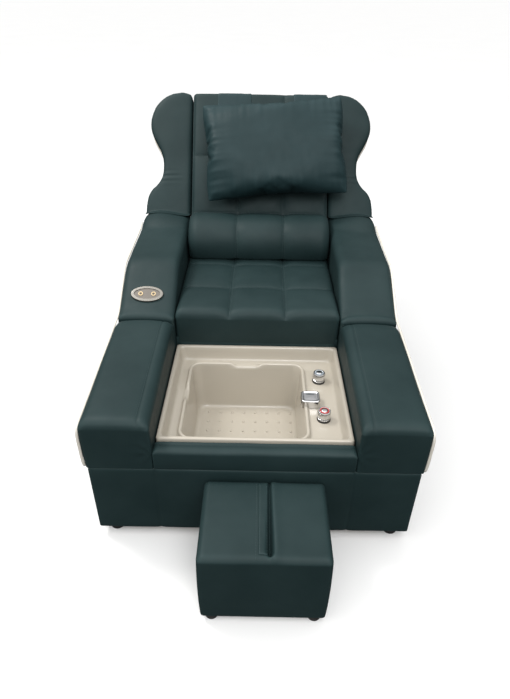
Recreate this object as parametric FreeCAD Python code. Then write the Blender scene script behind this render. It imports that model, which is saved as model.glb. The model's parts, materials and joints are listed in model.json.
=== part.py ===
"""Pedicure spa chair with a foot tub, a reclining back, a head pillow and a matching footstool.

Millimetres, +Z up. The chair faces -Y. Everything is modelled with Y = 0 at the front face of the base
and is moved by ROW_SHIFT_Y when it is written, so that the origin is on the floor under the middle of
the set. "left" is -X and "right" is +X, as someone standing in front of the chair sees them.
"""

import FreeCAD, Part
import math
import os

V = FreeCAD.Vector
X_AXIS = V(1, 0, 0)
Y_AXIS = V(0, 1, 0)
Z_AXIS = V(0, 0, 1)

# Base
BASE_HALF = 425.0
BASE_BOTTOM = 30.0
BASE_TOP = 258.0
BASE_LENGTH = 1080.0
PANEL = 18.0
PLY = 15.0
RAIL = 40.0
CROSS_RAIL_Y = 480.0
REAR_CROSS_RAIL_Y = 760.0
FRAME_HALF = BASE_HALF - PANEL
REAR_PANEL_TOP = 322.0
FOOT_R = 20.0
FOOT_PLACES_Y = (35.0, 540.0, 1045.0)
FOOT_X = 385.0

# Arms
ARM_INNER = 256.5
ARM_OUTER = 430.0
ARM_SPLIT_Y = 463.0
FRONT_ARM_TOP = 410.0
FRONT_ARM_REAR_TOP = 436.0
SLOPE_FOOT = (488.0, 439.0)
SLOPE_HEAD = (645.0, 533.0)
ARM_REAR_TOP = (1015.0, 549.0)
ARM_EDGE_R = 22.0
ARM_CORE_X = (290.0, 395.0)
ARM_CORE_Y = (40.0, 1040.0)
ARM_CORE_TOP = 385.0
PIPING_R = 4.0

# Basin
RIM_HALF = 253.0
RIM_FRONT = 43.0
RIM_REAR = 474.0
RIM_TOP = 325.0
RIM_BAND = 12.0
LEDGE_X = (226.0, 250.0)
LEDGE_Y = (48.0, 440.0)
DECK_TOP = 280.0
SHELL = 6.0
TUB_LEFT = -197.0
TUB_RIGHT = 137.0
TUB_FRONT = 89.0
TUB_REAR = 418.0
TUB_FLOOR = 128.0
TUB_DRAFT = 11.0
TUB_CORNER = 28.0
LIP_TOP = 292.0
LIP_BAND = 12.0
NOTCH_LENGTH = 85.0
NUB_FRONT_Y = 203.0
NUB_PITCH_X = 37.0
NUB_PITCH_Y = 43.0
NUB_R = 4.0
DRAIN_X = -27.0
DRAIN_Y = 150.0
DRAIN_HOLE_R = 23.0
DRAIN_FLANGE_R = 34.0
DRAIN_NUT_R = 32.0
DRAIN_TAIL_Z = 109.0
STOPPER_R = 24.0

# Water
KNOB_X = 189.0
HOT_Y = 178.0
COLD_Y = 352.0
KNOB_R = 18.0
KNOB_BOTTOM = 284.0
KNOB_TOP = 312.0
STEM_R = 4.0
STEM_BORE_R = 4.05
SHANK_R = 10.0
VALVE_R = 15.0
VALVE_BOTTOM = 228.0
SPOUT_Y = 247.0
SPOUT_WIDTH = 50.0
SPOUT_LEFT = 129.0
SPOUT_RIGHT = 183.0
SPOUT_TOP = 306.0
SPOUT_FEED_X = 166.0
SPOUT_TAIL_R = 8.0
SPOUT_BORE_R = 5.0
SUPPLY_R = 8.0
UNION_R = 10.48
HOT_PIPE_Z = 150.0
COLD_PIPE_Z = 195.0
MIX_Z = 240.0
WASTE_R = 16.0
WASTE_Z = 92.0
STUB = 25.0

# Seat
SEAT_HALF = 255.0
SEAT_FRONT = 475.0
SEAT_REAR = 905.0
SEAT_TOP = 444.0
SEAT_BOTTOM = 331.0
SEAT_EDGE_R = 24.0
BEARER_TOP = 318.0
BEARER_X = (212.0, 252.0)
BEARER_FRONT = 480.0

# Backrest, in its own axes: X across, Y back from the front plane, Z up the slope from the bolster
BACK_LEAN = 34.2
BACK_ORIGIN = V(0, 1002, 565)
BACK_HALF = 253.0
BACK_TOP = 438.0
CUSHION_BOTTOM = -120.0
CUSHION_DEPTH = 75.0
FRAME_DEPTH = (77.0, 112.0)
COVER_DEPTH = (114.0, 124.0)
COVER_BOTTOM = -95.0
STILE_BOTTOM = -60.0
STILE_INNER = 205.0
WING_DEPTH = 96.0
WING_ROOT = 255.0
WING_EDGE = [(256, 442), (297, 449), (345, 437), (382, 410), (404, 374), (413, 329), (404, 288),
             (384, 251), (367, 215), (361, 175), (365, 134), (382, 105), (407, 81), (420, 50), (422, 10)]
WING_SWEEP_R = 157.0
ARM_SWEEP_R = 154.0
BOLSTER_REACH = 120.0
BOLSTER_HEIGHT = 200.0
BOLSTER_MIDDLE = -105.0
BOLSTER_OVER_SEAT = 1.5

# Recline hinge and actuator
PIVOT_H = -150.0
PIVOT_DEPTH = 70.0
RECLINE = 38.0
PIN_R = 8.0
PIN_HOLE_R = 8.05
TORQUE_TUBE_R = 14.0
BRACKET_X = (240.0, 246.0)
BRACKET_HEAD_R = 26.0
LEVER = 150.0
LEVER_PIN_R = 6.0
LEVER_HALF = 14.0
LEVER_PLATE = 6.0
ACTUATOR_BACK_Y = 548.0
ACTUATOR_PIN_R = 6.0
GEARBOX_Y = (580.0, 640.0)
TUBE_END_Y = 890.0
TUBE_R = 19.0
MOTOR_R = 24.0
ROD_R = 10.0
ROD_BORE_R = 10.05

# Electrics
INLET_X = -200.0
INLET_Z = 150.0
CONTROL_BOX = (-260.0, -170.0, 700.0, 860.0, 70.0, 115.0)

# Switch
SWITCH_X = -345.0
SWITCH_Y = 536.0
BEZEL_HALF = (51.0, 28.0)
BUTTON_R = 7.5
BUTTON_GAP_R = 7.6
BUTTON_X = 20.0

# Head pillow
PILLOW_CENTRE = (52.0, 211.0)
PILLOW_SIZE = (496.0, 344.0)
PILLOW_DEPTH = (-150.0, -5.0)
PILLOW_TURN = 4.5
STRAPS = ((-160.0, -37.0), (122.0, 245.0))
STRAP_LEG = 290.0
STRAP_THICK = 3.0

# Footstool
STOOL_X = 26.0
STOOL_HALF = 152.0
STOOL_FRONT = -246.0
STOOL_REAR = -12.0
STOOL_TOP = 243.0
STOOL_BOTTOM = 19.0
STOOL_PAD = 24.0
STOOL_CORE_HALF = 128.0
STOOL_CORE_TOP = 208.0
STOOL_FOOT_X = 125.0
STOOL_FOOT_R = 17.0
STOOL_FOOT_INSET = 20.0

# Where the origin lies, measured back from the front face of the base
ROW_SHIFT_Y = 555.0


def box(x0, x1, y0, y1, z0, z1):
    return Part.makeBox(x1 - x0, y1 - y0, z1 - z0, V(x0, y0, z0))


def upright(x, y, z0, z1, radius):
    return Part.makeCylinder(radius, z1 - z0, V(x, y, z0), Z_AXIS)


def along_x(x0, x1, y, z, radius):
    return Part.makeCylinder(radius, x1 - x0, V(x0, y, z), X_AXIS)


def along_y(x, y0, y1, z, radius):
    return Part.makeCylinder(radius, y1 - y0, V(x, y0, z), Y_AXIS)


def mirrored(shape):
    return shape.mirror(V(0, 0, 0), X_AXIS)


def pair(shape):
    return Part.makeCompound([shape, mirrored(shape)])


def slab_yz(points, x0, x1):
    """A flat-sided block: an outline in the YZ plane, drawn from x0 to x1."""
    corners = [V(x0, y, z) for y, z in points]
    face = Part.Face(Part.makePolygon(corners + corners[:1]))
    return face.extrude(V(x1 - x0, 0, 0))


def softened(shape, radius, wanted):
    """Rounds the edges whose middle point passes the test."""
    edges = [edge for edge in shape.Edges if wanted(edge.CenterOfMass)]
    return shape.makeFillet(radius, edges)


def rounded_rectangle(x0, x1, y0, y1, radius, z):
    k = radius * (1 - math.sqrt(0.5))
    lines = [((x0 + radius, y0), (x1 - radius, y0)), ((x1, y0 + radius), (x1, y1 - radius)),
             ((x1 - radius, y1), (x0 + radius, y1)), ((x0, y1 - radius), (x0, y0 + radius))]
    middles = [(x1 - k, y0 + k), (x1 - k, y1 - k), (x0 + k, y1 - k), (x0 + k, y0 + k)]
    edges = []
    for n, (start, end) in enumerate(lines):
        after = lines[(n + 1) % 4][0]
        edges.append(Part.LineSegment(V(*start, z), V(*end, z)).toShape())
        edges.append(Part.Arc(V(*end, z), V(*middles[n], z), V(*after, z)).toShape())
    return Part.Wire(edges)


def tapered(low, high):
    """A solid between two rounded rectangles, each given as (x0, x1, y0, y1, radius, z)."""
    return Part.makeLoft([rounded_rectangle(*low), rounded_rectangle(*high)], True)


def pipe(points, bend, radius):
    """A round pipe along straight runs joined by tangent arcs."""
    places = [V(*p) for p in points]
    edges = []
    start = places[0]
    for before, corner, after in zip(places, places[1:], places[2:]):
        inward = (before - corner).normalize()
        outward = (after - corner).normalize()
        half = inward.getAngle(outward) / 2
        first = corner + inward * (bend / math.tan(half))
        last = corner + outward * (bend / math.tan(half))
        bisector = (inward + outward).normalize()
        middle = corner + bisector * (bend / math.sin(half) - bend)
        edges.append(Part.LineSegment(start, first).toShape())
        edges.append(Part.Arc(first, middle, last).toShape())
        start = last
    edges.append(Part.LineSegment(start, places[-1]).toShape())
    direction = places[1] - places[0]
    section = Part.Wire([Part.makeCircle(radius, places[0], direction)])
    return Part.Wire(edges).makePipeShell([section], True, True)


def from_back(shape):
    """Moves a shape from the backrest's own axes to the chair's."""
    placed = shape.copy()
    placed.rotate(V(0, 0, 0), X_AXIS, -BACK_LEAN)
    placed.translate(BACK_ORIGIN)
    return placed


def pivot_point():
    lean = math.radians(BACK_LEAN)
    y = BACK_ORIGIN.y + PIVOT_H * math.sin(lean) + PIVOT_DEPTH * math.cos(lean)
    z = BACK_ORIGIN.z + PIVOT_H * math.cos(lean) - PIVOT_DEPTH * math.sin(lean)
    return y, z


PIVOT_Y, PIVOT_Z = pivot_point()
HALF_SWING = math.radians(RECLINE / 2)
LEVER_PIN_Y = PIVOT_Y + LEVER * math.sin(HALF_SWING)
LEVER_PIN_Z = PIVOT_Z - LEVER * math.cos(HALF_SWING)
ACTUATOR_Z = PIVOT_Z - LEVER * (1 + math.cos(HALF_SWING)) / 2


# --- Base -------------------------------------------------------------------------------------------


def base_frame():
    """Timbers: rings of rails at the floor and the top, cross rails, posts, and ledges for the basin."""
    inner = FRAME_HALF - RAIL
    rear = BASE_LENGTH - PANEL
    cross_y = (PANEL, CROSS_RAIL_Y, rear - RAIL)
    timbers = []
    for z in (BASE_BOTTOM, BASE_TOP - RAIL):
        timbers += both_sides(inner, FRAME_HALF, PANEL, rear, z, z + RAIL)
        timbers += [box(-inner, inner, y, y + RAIL, z, z + RAIL) for y in cross_y[:2]]
    timbers.append(box(-inner, inner, cross_y[2], rear, BASE_BOTTOM, BASE_BOTTOM + RAIL))
    low_cross_y = REAR_CROSS_RAIL_Y + RAIL
    timbers.append(box(-inner, inner, REAR_CROSS_RAIL_Y, low_cross_y, BASE_BOTTOM, BASE_BOTTOM + RAIL))
    timbers += both_sides(60, inner, cross_y[2], rear, BASE_TOP - RAIL, BASE_TOP)
    for y in cross_y:
        timbers += both_sides(inner, FRAME_HALF, y, y + RAIL, BASE_BOTTOM + RAIL, BASE_TOP - RAIL)
    timbers += both_sides(*LEDGE_X, *LEDGE_Y, BASE_TOP, DECK_TOP - SHELL)
    return Part.makeCompound(timbers)


def both_sides(x0, x1, y0, y1, z0, z1):
    return [box(x0, x1, y0, y1, z0, z1), box(-x1, -x0, y0, y1, z0, z1)]


def deck_board():
    """Plywood strips in front of and behind the tub, which the arms and the apron stand beside."""
    half = LEDGE_X[0] - 1
    rows = ((LEDGE_Y[0], 72), (LEDGE_Y[1], RIM_REAR))
    return Part.makeCompound([box(-half, half, y0, y1, BASE_TOP, BASE_TOP + 15.5) for y0, y1 in rows])


def front_panel():
    return box(-BASE_HALF, BASE_HALF, 0, PANEL, BASE_BOTTOM, BASE_TOP - 1)


def side_panel_right():
    return box(FRAME_HALF, BASE_HALF, PANEL, BASE_LENGTH - PANEL, BASE_BOTTOM, BASE_TOP - 1)


def rear_panel():
    low = box(-BASE_HALF, BASE_HALF, BASE_LENGTH - PANEL, BASE_LENGTH, BASE_BOTTOM, BASE_TOP - 1)
    high = box(-SEAT_HALF, SEAT_HALF, BASE_LENGTH - PANEL, BASE_LENGTH, BASE_TOP - 1, REAR_PANEL_TOP)
    panel = low.fuse(high).removeSplitter()
    y0, y1 = BASE_LENGTH - 2 * PANEL, BASE_LENGTH + PANEL
    panel = panel.cut(along_y(DRAIN_X, y0, y1, WASTE_Z, WASTE_R + 1))
    for z in (HOT_PIPE_Z, COLD_PIPE_Z):
        panel = panel.cut(along_y(KNOB_X, y0, y1, z, UNION_R + 1))
    return panel.cut(inlet_hole())


def base_feet():
    places = [(side * FOOT_X, y) for side in (-1, 1) for y in FOOT_PLACES_Y]
    return Part.makeCompound([foot(x, y, FOOT_R, BASE_BOTTOM) for x, y in places])


def foot(x, y, radius, height):
    return softened(upright(x, y, 0, height, radius), 3, lambda c: c.z < 1)


# --- Arms -------------------------------------------------------------------------------------------


def arm_core_space():
    """The room that the pads leave for the plywood inside them."""
    gap = 0.2
    (x0, x1), (y0, y1) = ARM_CORE_X, ARM_CORE_Y
    return box(x0 - gap, x1 + gap, y0 - gap, y1 + gap, BASE_TOP - 1, ARM_CORE_TOP + gap)


def arm_core_right():
    """Plywood boards, open at the bottom, that stiffen both arm pads: two sides, two ends and a top."""
    (x0, x1), (y0, y1) = ARM_CORE_X, ARM_CORE_Y
    under = ARM_CORE_TOP - PLY
    boards = [box(x, x + PLY, y0, y1, BASE_TOP, under) for x in (x0, x1 - PLY)]
    boards += [box(x0 + PLY, x1 - PLY, y, y + PLY, BASE_TOP, under) for y in (y0, y1 - PLY)]
    boards.append(box(x0, x1, y0, y1, under, ARM_CORE_TOP))
    return Part.makeCompound(boards)


def front_arm_right():
    rear = ARM_SPLIT_Y - 1
    rise = [(0, BASE_TOP), (0, FRONT_ARM_TOP), (rear, FRONT_ARM_REAR_TOP), (rear, BASE_TOP)]
    pad = slab_yz(rise, ARM_INNER, ARM_OUTER)
    pad = softened(pad, ARM_EDGE_R, lambda c: c.z > 400 and c.y < ARM_SPLIT_Y - 5)
    return pad.cut(arm_core_space())


def arm_sweep():
    """Everything that the backrest's wings leave free as they swing."""
    return along_x(-500, 500, PIVOT_Y, PIVOT_Z, ARM_SWEEP_R)


def upper_arm_right():
    rise = [(ARM_SPLIT_Y, BASE_TOP), (ARM_SPLIT_Y, FRONT_ARM_REAR_TOP), SLOPE_FOOT, SLOPE_HEAD,
            ARM_REAR_TOP, (BASE_LENGTH, ARM_REAR_TOP[1]), (BASE_LENGTH, BASE_TOP)]
    pad = slab_yz(rise, ARM_INNER, ARM_OUTER - 2)
    beyond = box(0, 500, PIVOT_Y, 1200, PIVOT_Z, 600).cut(arm_sweep())
    pad = pad.cut(beyond)
    pad = softened(pad, ARM_EDGE_R - 4, lambda c: c.z > 430 and c.y < 1010 and abs(c.x - 342) > 60)
    return pad.cut(arm_core_space())


def upper_arm_left():
    well = on_switch(oval(BEZEL_HALF[0] - 3.5, BEZEL_HALF[1] - 3.5, -34, 10))
    return mirrored(upper_arm_right()).cut(well)


def front_apron():
    """Padded bar across the front, between the arms."""
    top = RIM_TOP - 3
    pad = box(1 - ARM_INNER, ARM_INNER - 1, 1, RIM_FRONT - 1, BASE_TOP, top)
    return softened(pad, 12, lambda c: c.z > top - 2 and abs(c.x) < 10)


def arm_piping():
    """Cord along the sewn outer edge of each arm."""
    line = [(3, BASE_TOP + 5), (3, FRONT_ARM_TOP - 4), (ARM_SPLIT_Y, FRONT_ARM_REAR_TOP - 3),
            (SLOPE_FOOT[0] + 5, SLOPE_FOOT[1] - 4), (SLOPE_HEAD[0] + 2, SLOPE_HEAD[1] - 4),
            (ARM_REAR_TOP[0] - 20, ARM_REAR_TOP[1] - 5)]
    cord = pipe([(ARM_OUTER - 2, y, z) for y, z in line], 9, PIPING_R)
    cord = cord.cut(front_arm_right()).cut(upper_arm_right())
    return pair(max(cord.Solids, key=lambda s: s.Volume))


# --- Seat -------------------------------------------------------------------------------------------


def seat_bearers():
    inner = BEARER_X[0]
    rails = both_sides(*BEARER_X, BEARER_FRONT, BASE_LENGTH - PANEL - 1, BASE_TOP, BEARER_TOP)
    rails.append(box(-inner, inner, BEARER_FRONT, BEARER_FRONT + 24, BASE_TOP, BEARER_TOP))
    return Part.makeCompound(rails)


def seat_deck():
    return box(-SEAT_HALF, SEAT_HALF, BEARER_FRONT, SEAT_REAR - 5, BEARER_TOP, SEAT_BOTTOM - 1)


def seat_cushion():
    pad = box(-SEAT_HALF, SEAT_HALF, SEAT_FRONT, SEAT_REAR, SEAT_BOTTOM, SEAT_TOP)
    pad = softened(pad, SEAT_EDGE_R, lambda c: c.z > SEAT_TOP - 2 and c.y < SEAT_FRONT + 2)
    return softened(pad, 10, lambda c: c.z > SEAT_TOP - 2 and abs(c.x) > SEAT_HALF - 2)


# --- Basin and water --------------------------------------------------------------------------------


def tub(offset, top, floor):
    """The tub's space, or its outside when the offset is the shell's thickness."""
    high = (TUB_LEFT - offset, TUB_RIGHT + offset, TUB_FRONT - offset, TUB_REAR + offset,
            TUB_CORNER + offset, top)
    inset = TUB_DRAFT - offset
    low = (TUB_LEFT + inset, TUB_RIGHT - inset, TUB_FRONT + inset, TUB_REAR - inset, TUB_CORNER, floor)
    return tapered(low, high)


def notch(x, y, length_x, length_y):
    """A dip in the tub's lip, rounded at its ends."""
    dip = box(x - length_x / 2, x + length_x / 2, y - length_y / 2, y + length_y / 2, DECK_TOP + 3, RIM_TOP)
    return softened(dip, 6, lambda c: c.z < DECK_TOP + 4)


def basin():
    """Cream acrylic shell: a rim, a recessed deck and the foot tub with its raised lip."""
    outer = tapered((-RIM_HALF, RIM_HALF, RIM_FRONT, RIM_REAR, 8, DECK_TOP - SHELL),
                    (-RIM_HALF, RIM_HALF, RIM_FRONT, RIM_REAR, 8, RIM_TOP))
    inset = RIM_BAND + 8
    low_half, high_half = RIM_HALF - inset, RIM_HALF - RIM_BAND
    recess = tapered((-low_half, low_half, RIM_FRONT + inset, RIM_REAR - inset, 14, DECK_TOP),
                     (-high_half, high_half, RIM_FRONT + RIM_BAND, RIM_REAR - RIM_BAND, 16, RIM_TOP))
    tub_shell = tub(SHELL, DECK_TOP - 1, TUB_FLOOR - SHELL)
    lip = tapered((TUB_LEFT - LIP_BAND, TUB_RIGHT + LIP_BAND, TUB_FRONT - LIP_BAND, TUB_REAR + LIP_BAND, 36,
                   DECK_TOP - 2),
                  (TUB_LEFT - 8, TUB_RIGHT + 8, TUB_FRONT - 8, TUB_REAR + 8, 34, LIP_TOP))
    middle_x = (TUB_LEFT + TUB_RIGHT) / 2
    lip = lip.cut(notch(middle_x, TUB_REAR + 6, NOTCH_LENGTH, 30))
    lip = lip.cut(notch(middle_x, TUB_FRONT - 6, NOTCH_LENGTH, 30))
    lip = lip.cut(notch(TUB_LEFT - 6, 280, 30, NOTCH_LENGTH * 0.7))
    lip = lip.cut(box(TUB_RIGHT - 20, TUB_RIGHT + 20, SPOUT_Y - 27, SPOUT_Y + 27, DECK_TOP, RIM_TOP))
    shell = outer.cut(recess).multiFuse([tub_shell, lip])
    shell = shell.cut(tub(0, LIP_TOP + 1, TUB_FLOOR))
    for y in (HOT_Y, COLD_Y):
        shell = shell.cut(upright(KNOB_X, y, DECK_TOP - 20, DECK_TOP + 5, SHANK_R + 0.3))
    shell = shell.cut(upright(SPOUT_FEED_X, SPOUT_Y, DECK_TOP - 20, DECK_TOP + 5, SPOUT_TAIL_R + 0.3))
    shell = shell.cut(upright(DRAIN_X, DRAIN_Y, TUB_FLOOR - 20, TUB_FLOOR + 5, DRAIN_HOLE_R))
    return shell.multiFuse(floor_nubs()).removeSplitter()


def floor_nubs():
    """Rows of small massage nubs on the tub's floor, behind the drain."""
    nubs = []
    for row in range(5):
        for column in range(8):
            x = (TUB_LEFT + TUB_RIGHT) / 2 + 10 + (column - 3.5) * NUB_PITCH_X
            place = V(x, NUB_FRONT_Y + row * NUB_PITCH_Y, TUB_FLOOR - 0.5)
            nubs.append(Part.makeCone(NUB_R, NUB_R * 0.6, 3.5, place))
    return nubs


def drain_flange():
    ring = upright(DRAIN_X, DRAIN_Y, TUB_FLOOR, TUB_FLOOR + 3, DRAIN_FLANGE_R)
    tail = upright(DRAIN_X, DRAIN_Y, DRAIN_TAIL_Z, TUB_FLOOR, DRAIN_HOLE_R - 0.3)
    flange = ring.fuse(tail).removeSplitter()
    return flange.cut(upright(DRAIN_X, DRAIN_Y, DRAIN_TAIL_Z - 5, TUB_FLOOR + 5, DRAIN_HOLE_R - 5))


def drain_nut():
    ring = upright(DRAIN_X, DRAIN_Y, DRAIN_TAIL_Z + 3, TUB_FLOOR - SHELL, DRAIN_NUT_R)
    return ring.cut(upright(DRAIN_X, DRAIN_Y, DRAIN_TAIL_Z, TUB_FLOOR, DRAIN_HOLE_R))


def drain_stopper():
    disc = upright(DRAIN_X, DRAIN_Y, TUB_FLOOR + 3.2, TUB_FLOOR + 7, STOPPER_R)
    disc = softened(disc, 1.5, lambda c: c.z > TUB_FLOOR + 6)
    stem = upright(DRAIN_X, DRAIN_Y, DRAIN_TAIL_Z - 3, TUB_FLOOR + 3.5, 5)
    guide = upright(DRAIN_X, DRAIN_Y, DRAIN_TAIL_Z - 3, DRAIN_TAIL_Z + 1, DRAIN_HOLE_R - 5.5)
    return disc.multiFuse([stem, guide]).removeSplitter()


def drain_pipe():
    """Waste pipe from the drain's tail to a stub behind the rear panel."""
    drop = upright(DRAIN_X, DRAIN_Y, WASTE_Z - WASTE_R - 4, DRAIN_TAIL_Z - 0.2, DRAIN_HOLE_R)
    run = along_y(DRAIN_X, DRAIN_Y, BASE_LENGTH + STUB, WASTE_Z, WASTE_R)
    collar = along_y(DRAIN_X, BASE_LENGTH - RAIL, BASE_LENGTH - PANEL - 2, WASTE_Z, WASTE_R + 4)
    bore = along_y(DRAIN_X, DRAIN_Y, BASE_LENGTH + STUB, WASTE_Z, WASTE_R - 3)
    well = upright(DRAIN_X, DRAIN_Y, WASTE_Z - WASTE_R - 1, DRAIN_TAIL_Z + 1, DRAIN_HOLE_R - 3)
    return drop.multiFuse([run, collar]).removeSplitter().cut(well).cut(bore)


def knob(y):
    body = upright(KNOB_X, y, KNOB_BOTTOM, KNOB_TOP, KNOB_R)
    body = softened(body, 2.5, lambda c: c.z > KNOB_TOP - 1)
    body = body.cut(upright(KNOB_X, y, KNOB_TOP - 1, KNOB_TOP + 5, 13))
    return body.cut(upright(KNOB_X, y, KNOB_BOTTOM - 5, KNOB_TOP - 7.9, STEM_BORE_R))


def knob_index(y):
    return upright(KNOB_X, y, KNOB_TOP - 1, KNOB_TOP + 0.6, 12.9)


def valve(y):
    body = upright(KNOB_X, y, VALVE_BOTTOM, DECK_TOP - SHELL, VALVE_R)
    shank = upright(KNOB_X, y, DECK_TOP - SHELL, DECK_TOP + 3, SHANK_R)
    stem = upright(KNOB_X, y, DECK_TOP + 3, KNOB_TOP - 8, STEM_R)
    return body.multiFuse([shank, stem]).removeSplitter()


def valve_seals():
    seals = []
    for y in (HOT_Y, COLD_Y):
        ring = upright(KNOB_X, y, DECK_TOP, KNOB_BOTTOM - 0.4, KNOB_R + 1)
        seals.append(ring.cut(upright(KNOB_X, y, DECK_TOP - 5, KNOB_BOTTOM + 5, SHANK_R + 0.2)))
    return Part.makeCompound(seals)


def spout():
    """Flat waterfall spout: open towards the tub, round at its other end."""
    y0, y1 = SPOUT_Y - SPOUT_WIDTH / 2, SPOUT_Y + SPOUT_WIDTH / 2
    body = box(SPOUT_LEFT, SPOUT_RIGHT, y0, y1, DECK_TOP + 0.2, SPOUT_TOP)
    body = softened(body, 14, lambda c: c.x > SPOUT_RIGHT - 1 and abs(c.y - SPOUT_Y) > 20)
    body = softened(body, 4, lambda c: c.z > SPOUT_TOP - 1)
    body = body.cut(box(SPOUT_LEFT - 5, SPOUT_FEED_X + 6, y0 + 5, y1 - 5, SPOUT_TOP - 15, SPOUT_TOP - 4))
    tail = upright(SPOUT_FEED_X, SPOUT_Y, DECK_TOP - 14, DECK_TOP + 2, SPOUT_TAIL_R)
    feed = upright(SPOUT_FEED_X, SPOUT_Y, DECK_TOP - 20, SPOUT_TOP - 10, SPOUT_BORE_R)
    return body.fuse(tail).cut(feed).removeSplitter()


def mixing_pipe():
    """Brass tee between the two valves and the spout."""
    cross = along_y(KNOB_X, HOT_Y, COLD_Y, MIX_Z, 6)
    line = [(KNOB_X, SPOUT_Y, MIX_Z), (SPOUT_FEED_X, SPOUT_Y, MIX_Z), (SPOUT_FEED_X, SPOUT_Y, DECK_TOP - 14)]
    rise = pipe(line, 10, SPOUT_BORE_R)
    return cross.fuse(rise).cut(valve(HOT_Y)).cut(valve(COLD_Y)).removeSplitter()


def supply_pipes():
    """Hot and cold feeds, from threaded unions behind the rear panel to the valves."""
    pipes = []
    for y, z in ((HOT_Y, HOT_PIPE_Z), (COLD_Y, COLD_PIPE_Z)):
        run = pipe([(KNOB_X, y, VALVE_BOTTOM), (KNOB_X, y, z), (KNOB_X, BASE_LENGTH - 5, z)], 16, SUPPLY_R)
        union = along_y(KNOB_X, BASE_LENGTH - PANEL - 2, BASE_LENGTH + STUB, z, UNION_R)
        pipes.append(run.fuse(union).removeSplitter())
    return Part.makeCompound(pipes)


# --- Backrest ---------------------------------------------------------------------------------------


def back_cushion():
    pad = box(-BACK_HALF, BACK_HALF, 0, CUSHION_DEPTH, CUSHION_BOTTOM, BACK_TOP)
    pad = softened(pad, 16, lambda c: c.y < 1 and c.z > BACK_TOP - 1)
    for side in (-1, 1):
        x0, x1 = sorted((side * 226, side * 300))
        pad = pad.cut(box(x0, x1, -5, 100, -200, -55))
    return from_back(pad)


def back_frame():
    """Timber stiles and cross rails, behind the cushion."""
    y0, y1 = FRAME_DEPTH
    top = BACK_TOP - 4
    width = 42
    timbers = both_sides(STILE_INNER, STILE_INNER + width, y0, y1, STILE_BOTTOM, top)
    rails_z = (STILE_BOTTOM, 150, top - width)
    timbers += [box(-STILE_INNER, STILE_INNER, y0, y1, z, z + width) for z in rails_z]
    return from_back(Part.makeCompound(timbers))


def back_cover():
    """Padded rear face with a narrower tail that hangs behind the hinge."""
    y0, y1 = COVER_DEPTH
    face = box(-BACK_HALF, BACK_HALF, y0, y1, COVER_BOTTOM, BACK_TOP - 1)
    tail = box(-STILE_INNER, STILE_INNER, y0, y1, PIVOT_H, COVER_BOTTOM)
    return from_back(face.fuse(tail).removeSplitter())


def wing_right():
    edge = Part.BSplineCurve()
    edge.interpolate([V(x, 0, z) for x, z in WING_EDGE])
    low, top = WING_EDGE[-1], WING_EDGE[0]
    corners = [V(low[0], 0, low[1]), V(low[0], 0, -40), V(WING_ROOT, 0, -40), V(WING_ROOT, 0, top[1]),
               V(top[0], 0, top[1])]
    sides = [Part.LineSegment(a, b).toShape() for a, b in zip(corners, corners[1:])]
    face = Part.Face(Part.Wire([edge.toShape()] + sides))
    pad = face.extrude(V(0, WING_DEPTH, 0))
    return from_back(pad).cut(along_x(-500, 500, PIVOT_Y, PIVOT_Z, WING_SWEEP_R))


def lumbar_bolster():
    """Half-round roll across the bottom of the back, flat underneath where it lies over the seat."""
    top = V(0, 0, BOLSTER_MIDDLE + BOLSTER_HEIGHT / 2)
    ellipse = Part.Ellipse(V(0, -BOLSTER_REACH, BOLSTER_MIDDLE), top, V(0, 0, BOLSTER_MIDDLE))
    face = Part.Face(Part.Wire([ellipse.toShape()]))
    face.translate(V(-BACK_HALF, 0, 0))
    roll = face.extrude(V(2 * BACK_HALF, 0, 0))
    roll = from_back(roll.common(box(-300, 300, -150, -0.4, -300, 50)))
    return roll.common(box(-300, 300, 0, 1200, SEAT_TOP + BOLSTER_OVER_SEAT, 900))


def wing_piping():
    """Piping round the outer edge of each wing, at its back."""
    shift = PIPING_R * 0.4
    points = [(x + shift, WING_DEPTH + 1, z) for x, z in WING_EDGE[1:]]
    curve = Part.BSplineCurve()
    curve.interpolate([V(*p) for p in points])
    tangent = curve.tangent(curve.FirstParameter)[0]
    section = Part.Wire([Part.makeCircle(PIPING_R, V(*points[0]), tangent)])
    cord = Part.Wire([curve.toShape()]).makePipeShell([section], True, False)
    cord = from_back(cord).cut(wing_right()).cut(along_x(-500, 500, PIVOT_Y, PIVOT_Z, WING_SWEEP_R))
    return pair(max(cord.Solids, key=lambda s: s.Volume))


def side_plates():
    """Steel plates that join the timber frame to the torque tube."""
    x0, x1 = BACK_HALF - 5.8, BACK_HALF - 1
    front, rear = FRAME_DEPTH
    neck_x, neck_rear = 226, PIVOT_DEPTH + 30
    under = STILE_BOTTOM - 1
    plate = box(x0, x1, front, rear, STILE_BOTTOM, 90)
    neck = box(neck_x, neck_x + 5, PIVOT_DEPTH - 22, neck_rear, PIVOT_H - 22, under)
    step = box(neck_x, x1, front, neck_rear, under - 5, under)
    join = box(x0, x1, front, neck_rear, under - 5, under + 2)
    plates = from_back(plate.multiFuse([neck, step, join]).removeSplitter())
    return pair(plates.cut(along_x(0, 300, PIVOT_Y, PIVOT_Z, PIN_R)))


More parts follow.
